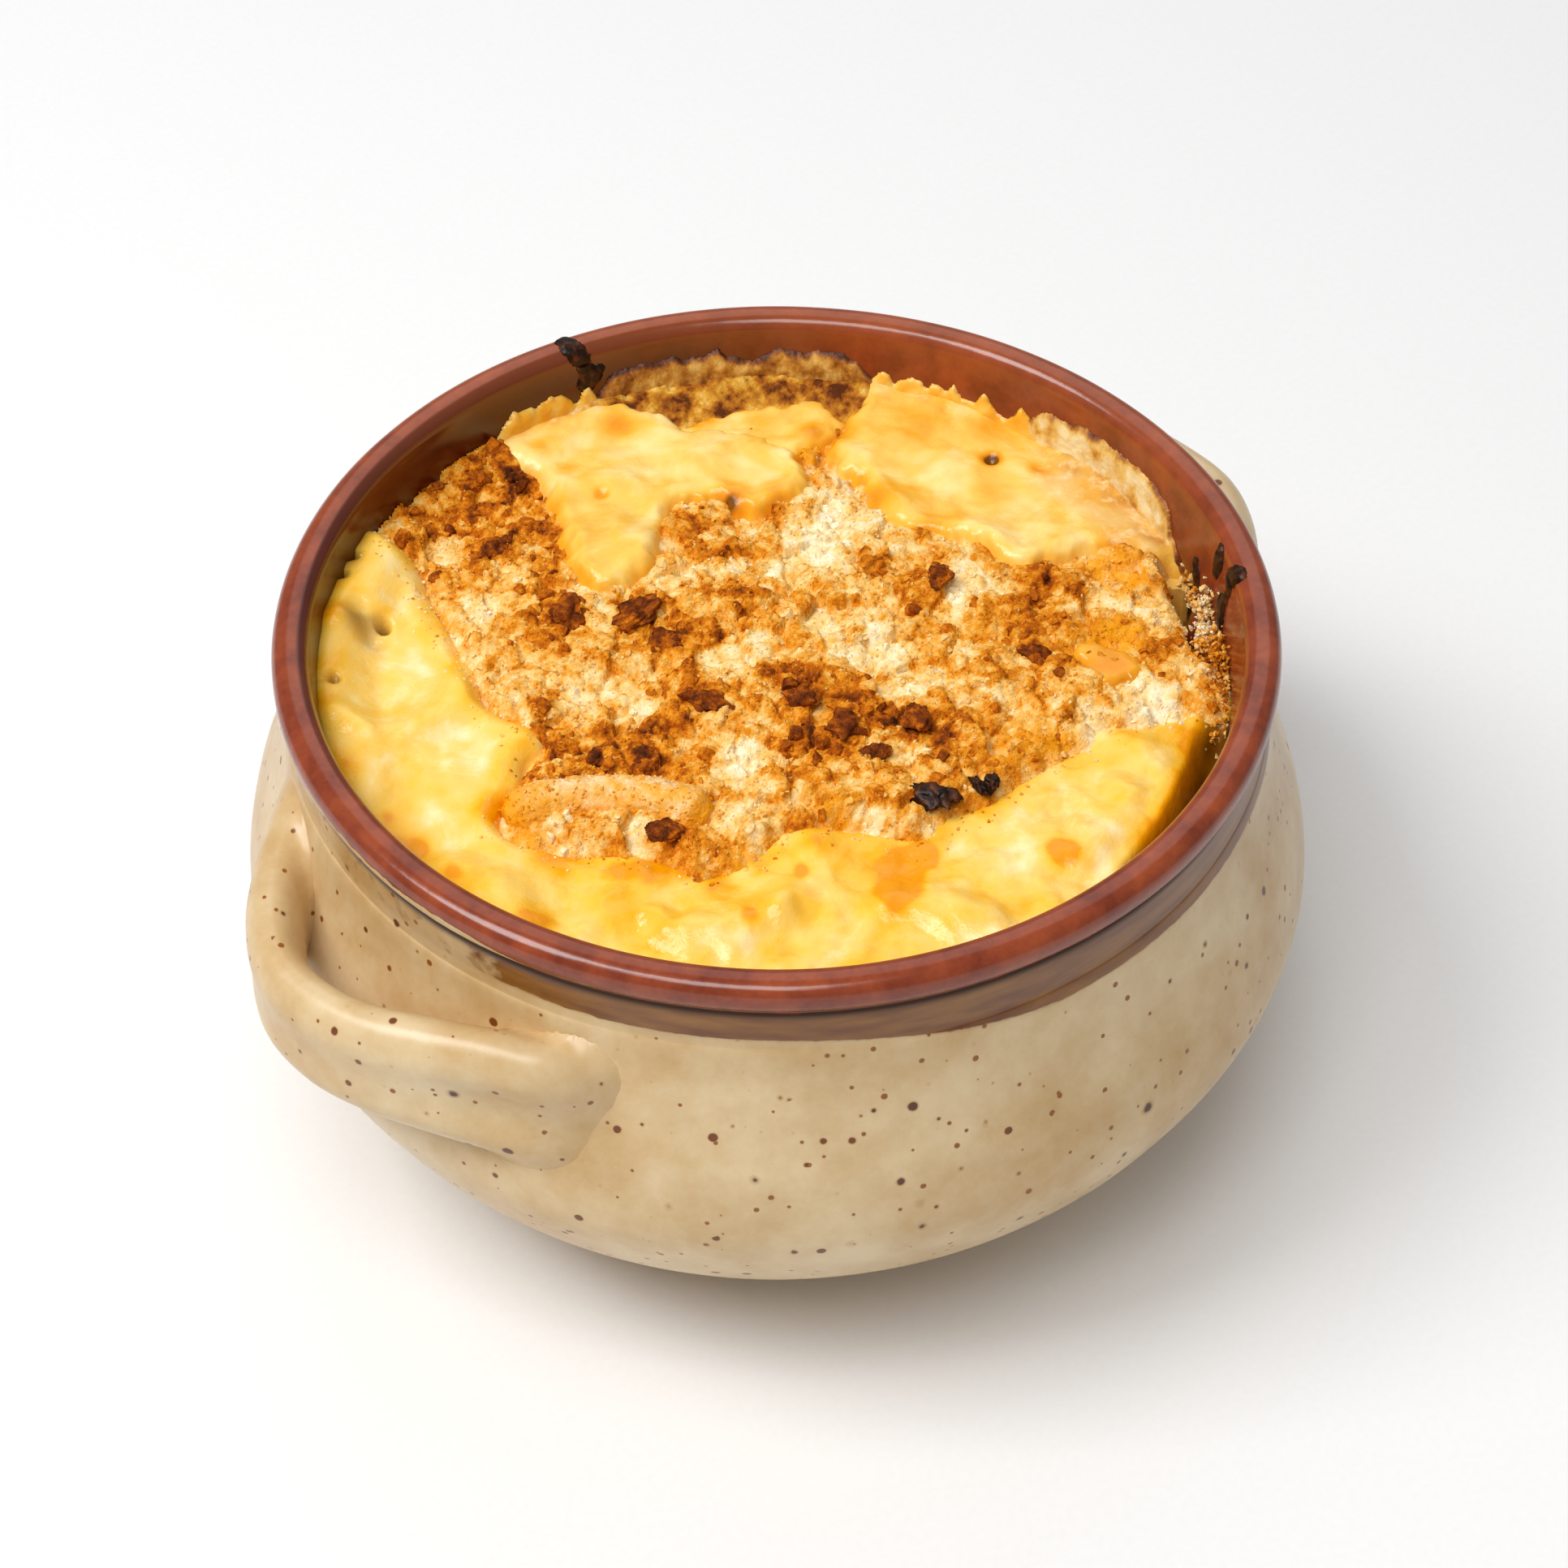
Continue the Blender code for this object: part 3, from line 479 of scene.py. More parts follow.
def cheese_top(u, v):
    """The bare cheese, thick-edged where it lies against the crumbs, with pits and small waves."""
    depth = depth_inside(u, v, BARE_CHEESE) + 0.5 * ripple(u, v, 3.2, 31.0)
    share = np.clip(depth / BARE_EDGE, 0, 1)
    round_edge = np.sqrt(1 - (1 - share) ** 2)
    left = ramp(-u, 24, 33)
    lift = BARE_LIFT_FRONT + (BARE_LIFT_LEFT - BARE_LIFT_FRONT) * left
    bead = 0.35 * bell(depth, 2.4, 1.3) * left
    lively = 1 - CALMER_LEFT * left
    waves = 0.34 * ripple(u, v, 6.5, 41.0)
    waves += lively * (0.36 * ripple(u, v, 2.8, 43.0) + 0.13 * ripple(u, v, 1.2, 45.0))
    pits = spots(u, v, PITS)
    return bedding(u, v) + elbow_bumps(u, v) + lift * round_edge + bead + waves * share - pits


# The top starts as flat rings, closer together further out. The sides reach SIDE_STEP into the wall.
FLAT_TOP, SIDE_TOP, SIDE_STEP = 62.0, 56.0, 0.1
RIM_FROM_R, RIM_R = 56.0, 57.2
rings = [0.0, *(4.0 * i for i in range(1, 6)), *(20.0 + 0.42 * i for i in range(1, 87)), RIM_R]
side = [(r + SIDE_STEP, z) for r, z in inner_line if z < SIDE_TOP]
pasta = turned([*((r, FLAT_TOP) for r in rings), *side[:-1], (0.0, side[-1][1] + SIDE_STEP)], PASTA_STEPS)
u, v, z = places(pasta)
on_top = z > FLAT_TOP - SIDE_STEP
r = np.hypot(u, v)
top = cheese_top(u, v)
rim = np.where(on_top & (r > RIM_FROM_R), (wall_radius(top) + 0.15) / np.maximum(r, 1e-6), 1.0)
stretch = 1 + (rim - 1) * ramp(r, RIM_FROM_R, RIM_R - 0.1)
move(pasta, np.where(on_top, u * stretch, u), np.where(on_top, v * stretch, v), np.where(on_top, top, z))
angle = direction(u, v)
shrunk = ramp(angle, -40, -31) * (1 - ramp(angle, -9, -4)) * (1 + 0.25 * ripple(u, v, 2.0, 50.0))
# How orange it is: in the pools, near the wall, in patches, by the shrunk edge and beside the crumbs
oil = spots(u, v, POOLS)
pooled = 0.4 * oil + 0.34 * ramp(oil + 0.4 * ripple(u, v, 2.6, 49.0), 0.5, 0.85)
pooled += 0.22 * ramp(r, 52.5, 56.5)
pooled += 0.2 * ripple(u, v, 7, 47.0) + 0.12 * ripple(u, v, 2.4, 48.0) + 0.05 * ramp(-v, 14, 34) - 0.07
pooled += 0.55 * shrunk * ramp(r, 50.2, 53.2)
pooled += 0.3 * bell(depth_inside(u, v, BARE_CHEESE), 1.2, 2.2) * ramp(ripple(u, v, 3.5, 52.0), -0.4, 0.4)
# Painted shade: down the holes, in the gap beside the crumbs and over the shrunk edge
in_hole = spots(u, v, [(a, b, 0.9 * c, min(d / 2.5, 1.2)) for a, b, c, d in PITS if d > HOLE_DEPTH])
in_hole += bell(angle, 15, 7) * ramp(r, 53.8, 55.4)
in_hole += 0.8 * shrunk * ramp(r, 52.9, 54.6)

sauce, tree, surface, coords = new_finish("baked cheese sauce")
# Cheddar sauce, set but wet: light enters it a few millimetres, and oil pools orange where it is thin.
pool = add(tree, "Attribute", attribute_name="pool", out=2)
swirl = add(
    tree, "TexNoise", {"Vector": coords, "Scale": 120, "Detail": 5, "Roughness": 0.6, "Distortion": 0.6}
)
fine = add(tree, "TexNoise", {"Vector": coords, "Scale": 420, "Detail": 4, "Roughness": 0.6})
blend = add(tree, "Math", {0: swirl, 1: 0.75, 2: pool}, operation="MULTIPLY_ADD")
grain = add(tree, "Math", {0: fine, 1: 0.25, 2: blend}, operation="MULTIPLY_ADD")
tone = add(
    tree, "ValToRGB", {"Fac": grain},
    stops=((0.24, "FFE8AE"), (0.42, "FDD06A"), (0.62, "FCC440"), (0.86, "F9AE08"), (1.0, "F09A00")),
)
# Painted shade: greyish in the hollows round the pits at the left, and dark down the holes and gaps.
for painted, colour in (("dull", "A98238"), ("hole", "4A2106")):
    here = add(tree, "Attribute", attribute_name=painted, out=2)
    tone = add(tree, "Mix", {0: here, 6: tone, 7: srgb(colour)}, out=2, data_type="RGBA")
wet = add(tree, "MapRange", {"Value": swirl, **NOISE_SPAN, "To Min": 0.34, "To Max": 0.14})
bump = add(tree, "Bump", {"Strength": 0.35, "Distance": 0.0006, "Height": fine})
CHEESE_BODY = {
    "Subsurface Weight": 0.2, "Subsurface Radius": (1.0, 0.45, 0.12), "Subsurface Scale": 0.002, "IOR": 1.45,
}
wire(tree, surface, {"Base Color": tone, "Roughness": wet, "Normal": bump, **CHEESE_BODY})
macaroni = piece("baked_macaroni_cheese", pasta, sauce, pool=pooled, hole=in_hole, dull=spots(u, v, DULL))
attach(macaroni, "root")
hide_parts("mac_and_cheese")

# The toasted breadcrumb layer: fine crumbs and broken flakes fried in butter, pale and floury in places and
# browned in others, sunk into the cheese at its edge.
CRUMB_THICK = 2.4
CRUMB_STEP = 0.31
UNDER_MELT = 1.3
CRUMB_FLOOR = 50.0
FOOD_R = 57.3
# Outlines of the layer and of the two sheets of cheese on it, as (right, back)
CRUMB_OUTLINE = (
    (56.0, -6.0), (50.4, -6.5), (43.5, -10.1), (38.3, -12.7), (32.0, -16.5), (26.2, -21.8), (20.5, -24.5),
    (17.0, -28.2), (10.0, -26.8), (1.0, -27.3), (-4.2, -32.0), (-9.2, -34.5), (-14.8, -31.2),
    (-24.0, -30.6), (-31.8, -28.4), (-33.3, -25.8), (-30.3, -22.5), (-31.2, -18.5), (-28.7, -13.5),
    (-35.1, -8.1), (-38.4, -1.5), (-41.5, 6.0), (-45.2, 12.5), (-47.8, 18.5), (-56.0, 24.0), (-48.0, 42.0),
    (-28.0, 58.0), (0.0, 64.0), (28.0, 58.0), (46.0, 38.0), (51.0, 21.5), (52.8, 13.0), (52.0, 6.5),
    (57.0, 2.0),
)
LEFT_MELT = (
    (-37.5, 43.0), (-31.8, 48.0), (-24.0, 51.2), (-17.7, 50.5), (-12.5, 47.6), (-4.8, 46.4), (0.9, 43.2),
    (4.0, 39.0), (3.6, 34.8), (0.5, 31.6), (-4.0, 30.3), (-9.8, 32.9), (-14.2, 30.4), (-14.9, 24.1),
    (-16.2, 18.2), (-20.5, 14.6), (-25.0, 16.2), (-27.8, 21.3), (-29.3, 30.0), (-32.5, 37.5),
)
RIGHT_MELT = (
    (6.8, 43.3), (10.0, 49.0), (11.5, 54.0), (14.0, 59.0), (27.0, 55.0), (38.0, 48.0), (48.0, 37.0),
    (55.0, 27.0), (56.0, 20.5), (50.0, 21.4), (43.5, 23.2), (38.4, 21.4), (32.4, 18.4), (28.2, 20.2),
    (24.8, 24.4), (17.6, 26.4), (14.2, 29.5), (11.0, 36.5),
)
# Browned places, as (right, back, radius, strength)
TOASTED = (
    (-40, 33, 10, 0.55), (-45, 27, 6, 0.45), (-35, 38, 6, 0.40), (-33, 27, 6, 0.45), (-37, 22, 3, 0.55),
    (-30, 20, 5, 0.40), (-31, 14, 4, 0.40), (-27, 10, 4, 0.50), (-18, 9, 5, 0.60), (-13, 6, 5, 0.60),
    (-15, 2, 4, 0.40), (-24, 1, 2, 0.45), (-18, -2, 2.4, 0.45), (-9, -6.5, 4, 0.60), (-13, -10, 4, 0.45),
    (2, -5, 5, 0.50), (8, -10, 5, 0.70), (13, -10, 4, 0.55), (17, -10, 4, 0.70), (20, -13, 4, 0.45),
    (5, -14, 5, 0.50), (11, -16, 5, 0.40), (-27, -14, 4, 0.55), (-17, -14, 6, 0.45), (-14, -18, 5, 0.40),
    (-24, -19, 5, 0.35), (25, -8, 3, 0.25), (30, -12, 6, 0.20), (21, 21, 2.4, 0.60), (37, 21.5, 3, 0.50),
    (31, 18, 4, 0.30), (35, 13, 5, 0.40), (33, 6, 6, 0.60), (25, 8, 5, 0.30), (28, 2, 5, 0.30),
    (38, 3, 5, 0.50), (12, 19, 4, 0.25), (-7, 21, 2.6, 0.40), (3, 14, 4, 0.25), (-3, -3, 4, 0.25),
    (-2, 30, 4, 0.30), (-10, 27, 4, 0.20), (8, 38, 5, 0.25), (5, 44, 4, 0.35), (-12, -30, 3, 0.35),
    (-6, -29, 2, 0.40), (1, -19, 3, 0.25), (-34, 41, 5, 0.30), (-49, 22, 4, 0.30), (17, -24, 3, 0.35),
)
# Floury places where the crumbs stayed pale
FLOURY = (
    (5, 23, 8, 0.45), (0, 18, 4, 0.25), (11, 28, 7, 0.35), (-8, 25, 4, 0.20), (25, 16, 6, 0.30),
    (14, 5, 6, 0.30), (7, 7, 5, 0.25), (-36, 15, 5, 0.14), (-28, 13, 4, 0.14), (-33, 4, 6, 0.10),
    (-24, -4, 6, 0.25), (-3, 3.5, 3.6, 0.25), (22, -3, 7, 0.20), (47, -4, 6, 0.30), (-5, -16, 5, 0.45),
    (-3, -24, 6, 0.45), (-16, 17, 4, 0.25), (0, 10, 4, 0.15), (30, -16, 4, 0.10), (-33, 39, 2, 0.40),
)
# Places where the cheese shows orange between the crumbs
CHEESY = (
    (44, 6, 5, 0.9), (38, 4, 6, 0.5), (45, 17, 6, 0.7), (41, 21, 5, 0.6), (12, 19, 4, 0.35),
    (-39, -3, 3, 0.4), (-36, -8, 3, 0.5), (-42, 9, 2.6, 0.6), (5, 42, 5, 0.9), (3, 14, 3, 0.5),
    (20, -25, 4, 0.4), (28, -15, 5, 0.5), (35, -13, 6, 0.6), (30, -8, 4, 0.35), (-30, -28, 5, 0.6),
    (8, -25, 6, 0.5), (-4, -32, 4, 0.5), (-44, 16, 3, 0.5), (25, 7, 3, 0.4),
)


def cells(u, v, size, seed):
    """Broken ground: each place's distance to its grain's middle and how much nearer that is than the next
    grain's, the grain's own number, and how far along its own lean the place lies."""
    a, b = u / size, v / size
    near, second = np.full(a.shape, 9.0), np.full(a.shape, 9.0)
    mark, lean = np.zeros(a.shape), np.zeros(a.shape)
    for i in (-1, 0, 1):
        for j in (-1, 0, 1):
            p, q = np.floor(a) + i, np.floor(b) + j
            x = np.modf(np.abs(np.sin(p * 127.1 + q * 311.7 + seed) * 43758.5))[0]
            y = np.modf(np.abs(np.sin(p * 269.5 + q * 183.3 + seed) * 24634.6))[0]
            du, dv = a - p - x, b - q - y
            away, way = np.hypot(du, dv), 2 * math.pi * np.modf(x * 13.7 + y * 5.9)[0]
            closer = away < near
            second = np.where(closer, near, np.minimum(second, away))
            mark = np.where(closer, np.modf(x * 7.3 + y * 3.1)[0], mark)
            lean = np.where(closer, du * np.cos(way) + dv * np.sin(way), lean)
            near = np.where(closer, away, near)
    return near, second - near, mark, lean


# Widths of a slab, a lump and a grain of the crumb's ground
SLAB, LUMP, GRAIN = 5.2, 2.2, 1.05


def crags(u, v):
    """Tilted slabs, lumps and grains heaped at random: their height, darkness and the painted shade in the
    cracks between them.
    """
    shift = 1.1 * ripple(u, v, 3.0, 51.0), 1.1 * ripple(u, v, 3.0, 53.0)
    a, b = u + shift[0], v + shift[1]
    _, gap, mark, lean = cells(a, b, SLAB, 1.0)
    cut = 1 - ramp(gap, 0.0, 0.16)
    height = 1.1 * (mark - 0.5) + 1.0 * lean - 0.45 * cut
    tone, crack = 0.22 * (mark - 0.5), 0.7 * cut
    near, gap, mark, _ = cells(a + 0.3 * shift[1], b, LUMP, 2.0)
    cut = 1 - ramp(gap, 0.0, 0.2)
    height += 0.5 * (0.25 + mark) * (1 - near ** 2) - 0.3 * cut - 0.35
    tone, crack = tone + 0.18 * (mark - 0.5), crack + 0.5 * cut
    near, gap, mark, _ = cells(a, b - 0.3 * shift[0], GRAIN, 3.0)
    height += 0.34 * (0.3 + mark) * (1 - near ** 2) - 0.15
    return height, tone + 0.12 * (mark - 0.5), crack + 0.35 * (1 - ramp(gap, 0.0, 0.22))


def crumb_bed(u, v):
    """The smooth top that the crumb layer averages to, thinner below the melted cheese."""
    share = 1 - 0.4 * ramp(v, 22, 30)
    return bedding(u, v) + share * CRUMB_THICK + 0.5 * ripple(u, v, 10, 11.0)


def crumb_top(u, v, depth, rough):
    """The crumbs' craggy top, sinking into the cheese at the layer's edge."""
    edge = ramp(depth, -1.2, 2.6)
    sunk = bedding(u, v) + 0.25
    dive = 3.0 * ramp(-depth, 0.6, 2.2)
    return sunk + (crumb_bed(u, v) - sunk) * edge + rough * (0.35 + 0.65 * edge) - dive


def close_below(bm, floor):
    """Walls a raised grid down to a flat underside, sharp where the wall starts."""
    boundary = [edge for edge in bm.edges if edge.is_boundary]
    for edge in boundary:
        edge.smooth = False
    grown = bmesh.ops.extrude_edge_only(bm, edges=boundary)["geom"]
    for vert in grown:
        if isinstance(vert, bmesh.types.BMVert):
            vert.co.z = floor
    rim = [edge for edge in grown if isinstance(edge, bmesh.types.BMEdge) and edge.is_boundary]
    bmesh.ops.holes_fill(bm, edges=rim, sides=0)
    bmesh.ops.recalc_face_normals(bm, faces=bm.faces[:])


def raised_grid(low, high, step, depth_of):
    """A flat grid between two corners, kept where depth_of is above 0 and nowhere joined by one point."""
    bm = bmesh.new()
    wide, deep = high[0] - low[0], high[1] - low[1]
    bmesh.ops.create_grid(bm, x_segments=round(wide / step), y_segments=round(deep / step), size=0.5)
    bmesh.ops.scale(bm, vec=(wide, deep, 1), verts=bm.verts[:])
    bmesh.ops.translate(bm, vec=(low[0] + wide / 2, low[1] + deep / 2, 0), verts=bm.verts[:])
    u, v, _ = places(bm)
    outside = depth_of(u, v) <= 0
    unwanted = [vert for vert, out in zip(bm.verts, outside) if out]
    while unwanted:
        bmesh.ops.delete(bm, geom=unwanted, context="VERTS")
        unwanted = [vert for vert in bm.verts if sum(edge.is_boundary for edge in vert.link_edges) > 2]
    return bm


def within_wall(u, v):
    """How far each place is from the wall at the food's height."""
    return FOOD_R - np.hypot(u, v)


def crumb_depth(u, v):
    """How far inside the crumb layer's ragged edge each place is."""
    return depth_inside(u, v, CRUMB_OUTLINE) + 1.3 * ripple(u, v, 3.0, 71.0) + 0.6 * ripple(u, v, 1.2, 73.0)


def toasting(u, v):
    """How brown the crumbs are, from 0 for floury to about 1 for nearly burnt."""
    broken = 0.16 * ripple(u, v, 5.0, 81.0) + 0.13 * ripple(u, v, 2.0, 83.0)
    browned = spots(u, v, TOASTED)
    return 0.41 + 0.5 * browned / (1 + 0.35 * browned) - 0.5 * spots(u, v, FLOURY) + broken


def under_melts(u, v):
    """How far inside the outline of the nearer sheet of cheese each place is."""
    return np.maximum(depth_inside(u, v, LEFT_MELT), depth_inside(u, v, RIGHT_MELT))


def crumb_face(u, v):
    """The crumb layer's height, browning and painted shade in its cracks at each place."""
    under = under_melts(u, v)
    height, tone, crack = crags(u, v)
    baked_on = ramp(np.hypot(u, v), 48.5, 52.0) * ramp(v, 30, 44)
    rough = height + 0.14 * ripple(u, v, 0.9, 61.0)
    rough = rough * (1 - 0.85 * ramp(under, -0.5, 1.5)) * (1 - 0.6 * baked_on)
    top = crumb_top(u, v, crumb_depth(u, v), rough) - UNDER_MELT * ramp(under, 0.4, 2.0)
    return top, toasting(u, v) + tone, crack


crumbs = raised_grid(
    (-57, -36), (57, 57), CRUMB_STEP,
    lambda u, v: np.minimum(depth_inside(u, v, CRUMB_OUTLINE) + 2.4, within_wall(u, v)),
)
u, v, _ = places(crumbs)
move(crumbs, u, v, crumb_face(u, v)[0])
close_below(crumbs, CRUMB_FLOOR)
u, v, _ = places(crumbs)
_, browned, cracked = crumb_face(u, v)
# At the back the layer turns into the dark crust that has baked onto the wall.
angle = direction(u, v)
crusted = ramp(np.hypot(u, v), 48.0, 50.0) * ramp(angle, 72.0, 77.0) * (1 - ramp(angle, 113.0, 118.0))

breadcrumb, tree, surface, coords = new_finish("toasted breadcrumb")
# Dry crumb fried in butter: floury grains of 0.2 to 0.5 mm, drawn as coarse as shows, browned in patches.
toast = add(tree, "Attribute", attribute_name="toast", out=2)
cheesy = add(tree, "Attribute", attribute_name="cheesy", out=2)
crack = add(tree, "Attribute", attribute_name="crack", out=2)
patch = add(tree, "TexNoise", {"Vector": coords, "Scale": 480, "Detail": 5, "Roughness": 0.7})
flour = add(tree, "TexNoise", {"Vector": coords, "Scale": 1900, "Detail": 3, "Roughness": 0.7})
spread = add(
    tree, "MapRange", {"Value": patch, "From Min": 0.25, "From Max": 0.75, "To Min": -0.2, "To Max": 0.2}
)
mottled = add(tree, "Math", {0: toast, 1: spread}, operation="ADD")
specks = add(tree, "MapRange", {"Value": flour, **NOISE_SPAN, "To Min": -0.08, "To Max": 0.08})
grainy = add(tree, "Math", {0: mottled, 1: specks}, operation="ADD")
# Painted shade: the crumbs are drawn darker in the cracks between them.
sunken = add(tree, "Math", {0: crack, 1: 0.13, 2: grainy}, operation="MULTIPLY_ADD")
tone = add(
    tree, "ValToRGB", {"Fac": sunken},
    stops=(
        (0.0, "FFF2D0"), (0.20, "FCDDA2"), (0.38, "F2BF66"), (0.54, "E4921A"),
        (0.68, "C06402"), (0.84, "7C3603"), (1.0, "421B02"),
    ),
)
cheese_share = add(tree, "Math", {0: cheesy, 1: patch}, operation="MULTIPLY")
cheese_mask = add(
    tree, "MapRange", {"Value": cheese_share, "From Min": 0.12, "From Max": 0.36, "To Max": 0.88}
)
mixed = add(tree, "Mix", {0: cheese_mask, 6: tone, 7: srgb("F4A210")}, out=2, data_type="RGBA")
crust_here = add(tree, "Attribute", attribute_name="crusted", out=2)
blotch = add(tree, "TexNoise", {"Vector": coords, "Scale": 300, "Detail": 6, "Roughness": 0.6})
crust_tone = add(
    tree, "ValToRGB", {"Fac": blotch},
    stops=((0.38, "5A2A0C"), (0.47, "A86018"), (0.56, "CE9028"), (0.66, "EAC060")),
)
baked = add(tree, "Mix", {0: crust_here, 6: mixed, 7: crust_tone}, out=2, data_type="RGBA")
dry = add(tree, "MapRange", {"Value": cheese_mask, "To Min": 0.8, "To Max": 0.38})
grit = add(tree, "Bump", {"Strength": 0.55, "Distance": 0.0004, "Height": flour})
lumps = add(tree, "Bump", {"Strength": 0.6, "Distance": 0.0008, "Height": patch, "Normal": grit})
wire(tree, surface, {
    "Base Color": baked, "Roughness": dry, "Normal": lumps, "Specular IOR Level": 0.15,
    "Subsurface Weight": 0.08, "Subsurface Radius": (1.0, 0.5, 0.2), "Subsurface Scale": 0.001,
})
crust = piece(
    "toasted_crumb_crust", crumbs, breadcrumb,
    toast=browned, cheesy=spots(u, v, CHEESY), crack=cracked, crusted=crusted,
)
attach(crust, "root")
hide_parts("crumb_crust")

# The loose crumbs on that layer: dry bread grated into angular grains, scattered by hand and toasted with
# it. A few strayed onto the cheese beside it.
rng = np.random.default_rng(41)


def crumb_shapes(corners, count):
    """Angular crumbs about 1 across, each the hull of a few points on a lumpy ball."""
    shapes = []
    for _ in range(count):
        bm = bmesh.new()
        for place in rng.normal(size=(corners, 3)):
            bm.verts.new(Vector(place).normalized() * rng.uniform(0.40, 0.55))
        hull = bmesh.ops.convex_hull(bm, input=bm.verts[:])
        bmesh.ops.delete(bm, geom=hull["geom_interior"], context="VERTS")
        bmesh.ops.triangulate(bm, faces=bm.faces[:])
        bm.verts.index_update()
        shapes.append((places(bm).T, np.array([[vert.index for vert in face.verts] for face in bm.faces])))
        bm.free()
    return shapes


def strewn(name, shapes, where, sizes, finish, slot, **painted):
    """One piece of many crumbs, each turned and squashed at random, with painted values of its own."""
    count = len(sizes)
    quaternion = rng.normal(size=(count, 4))
    w, x, y, z = (quaternion / np.linalg.norm(quaternion, axis=1)[:, None]).T
    turn = np.array([
        [1 - 2 * (y * y + z * z), 2 * (x * y - z * w), 2 * (x * z + y * w)],
        [2 * (x * y + z * w), 1 - 2 * (x * x + z * z), 2 * (y * z - x * w)],
        [2 * (x * z - y * w), 2 * (y * z + x * w), 1 - 2 * (x * x + y * y)],
    ]).transpose(2, 0, 1)
    width, height = rng.uniform(0.6, 1, count), rng.uniform(0.45, 0.9, count)
    squash = sizes[:, None] * np.column_stack((np.ones(count), width, height))
    points, faces, owner, start = [], [], [], 0
    for i in range(count):
        shape, sides = shapes[i % len(shapes)]
        points.append((shape * squash[i]) @ turn[i].T + where[i])
        faces.append(sides + start)
        owner.append(np.full(len(shape), i))
        start += len(shape)
    heap = bpy.data.meshes.new(name)
    heap.from_pydata(np.concatenate(points).tolist(), [], np.concatenate(faces).tolist())
    bm = bmesh.new()
    bm.from_mesh(heap)
    bpy.data.meshes.remove(heap)
    bmesh.ops.recalc_face_normals(bm, faces=bm.faces[:])
    owner = np.concatenate(owner)
    made = piece(name, bm, finish, smooth=False, **{key: values[owner] for key, values in painted.items()})
    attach(made, "root")
    return made


def scattered(count, sizes, off_edge):
    """Places for crumbs on the layer, with their size and browning, small ones the most common. They keep up
    to off_edge inside its edge, or stray as far out where that is below 0, fewer the further."""
    u, v = rng.uniform(-57, 57, count * 3), rng.uniform(-36, 57, count * 3)
    size = sizes[0] + (sizes[1] - sizes[0]) * rng.uniform(0, 1, count * 3) ** 2
    under = under_melts(u, v)
    edge = off_edge * rng.uniform(0, 1, count * 3) ** 2
    keep = (crumb_depth(u, v) > edge) & (within_wall(u, v) > 0.6) & (under < -0.3)
    on_back_crust = (np.hypot(u, v) > 47) & (v > 30) & (abs(u) < 20)
    keep &= ~on_back_crust
    u, v, size = u[keep][:count], v[keep][:count], size[keep][:count]
    height, browned, _ = crumb_face(u, v)
    height = np.maximum(height, cheese_top(u, v)) - 0.08 * size
    return np.column_stack((u, v, height)), size, browned + rng.normal(0, 0.07, len(u)) - 0.02


# As (name, corners of a crumb, how many, smallest and largest, off_edge)
for name, corners, count, span, off_edge in (
    ("coarse_breadcrumbs", 16, 500, (0.9, 2.1), 0.5),
    ("fine_breadcrumbs", 12, 9000, (0.3, 0.9), -4.0),
):
    where, size, browned = scattered(count, span, off_edge)
    strewn(
        name, crumb_shapes(corners, 16), where, size, breadcrumb, "toasted_breadcrumbs",
        toast=browned, cheesy=0.8 * spots(where[:, 0], where[:, 1], CHEESY),
    )

# The browned flakes: pieces of crust and clumped crumb that toasted darkest, each large one in its own place
# and small ones on the browned places, and two that charred black. As (right, back, length)
FLAKES = (
    (-26.6, 9.5, 6.2), (-17.8, 10.2, 7.8), (-14.1, 4.9, 5.2), (-8.3, -6.9, 5.8), (3.3, -7.0, 5.0),
    (8.3, -11.3, 5.6), (17.3, -9.9, 5.4), (18.9, -22.5, 4.6), (32.6, 3.2, 6.0), (-36.7, 21.9, 5.8),
    (20.8, 15.0, 4.8), (-13.4, -29.0, 5.0), (12.0, -16.0, 4.4), (-22.0, -15.5, 4.6),
)
SMALL_FLAKES, BROWNED_FROM = 160, 0.52
FLAKE_FLATNESS, FLAKE_TILT = 0.32, 0.35


def add_flake(bm, place, size, flatness, seed):
    """Adds a lumpy, slightly tilted flake."""
    ball = bmesh.ops.create_icosphere(bm, subdivisions=4, radius=0.5)["verts"]
    turn = Matrix.Rotation(rng.uniform(0, 6.28), 3, "Z") @ Matrix.Rotation(rng.normal(0, FLAKE_TILT), 3, "X")
    width = rng.uniform(0.55, 0.8)
    shift = Vector((seed, 0, 0))
    for vert in ball:
        lumps = 1 + 0.55 * noise.noise(vert.co * 3.1 + shift) + 0.25 * noise.noise(vert.co * 8)
        flat = Vector((vert.co.x, vert.co.y * width, vert.co.z * flatness))
        vert.co = turn @ (flat * size * lumps) + Vector(place)


flakes = bmesh.new()
u, v, size = (np.array(column) for column in zip(*FLAKES))
height, _, _ = crumb_face(u, v)
for i in range(len(FLAKES)):
    add_flake(flakes, (u[i], v[i], height[i] + 0.3), size[i] * 0.85, FLAKE_FLATNESS, i * 3.7)
tone = 0.84 + 0.2 * ripple(*places(flakes)[:2], 1.2, 7.0)
browned_flakes = piece("browned_flakes", flakes, breadcrumb, toast=tone)
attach(browned_flakes, "root")

where, size, browned = scattered(SMALL_FLAKES * 4, (1.2, 3.2), 1.0)
darkest = np.flatnonzero(browned > BROWNED_FROM)[:SMALL_FLAKES]
strewn(
    "toasted_flakes", crumb_shapes(20, 12), where[darkest], size[darkest], breadcrumb, "toasted_breadcrumbs",
    toast=browned[darkest] + 0.12,
)

charred, tree, surface, coords = new_finish("charred crumb")
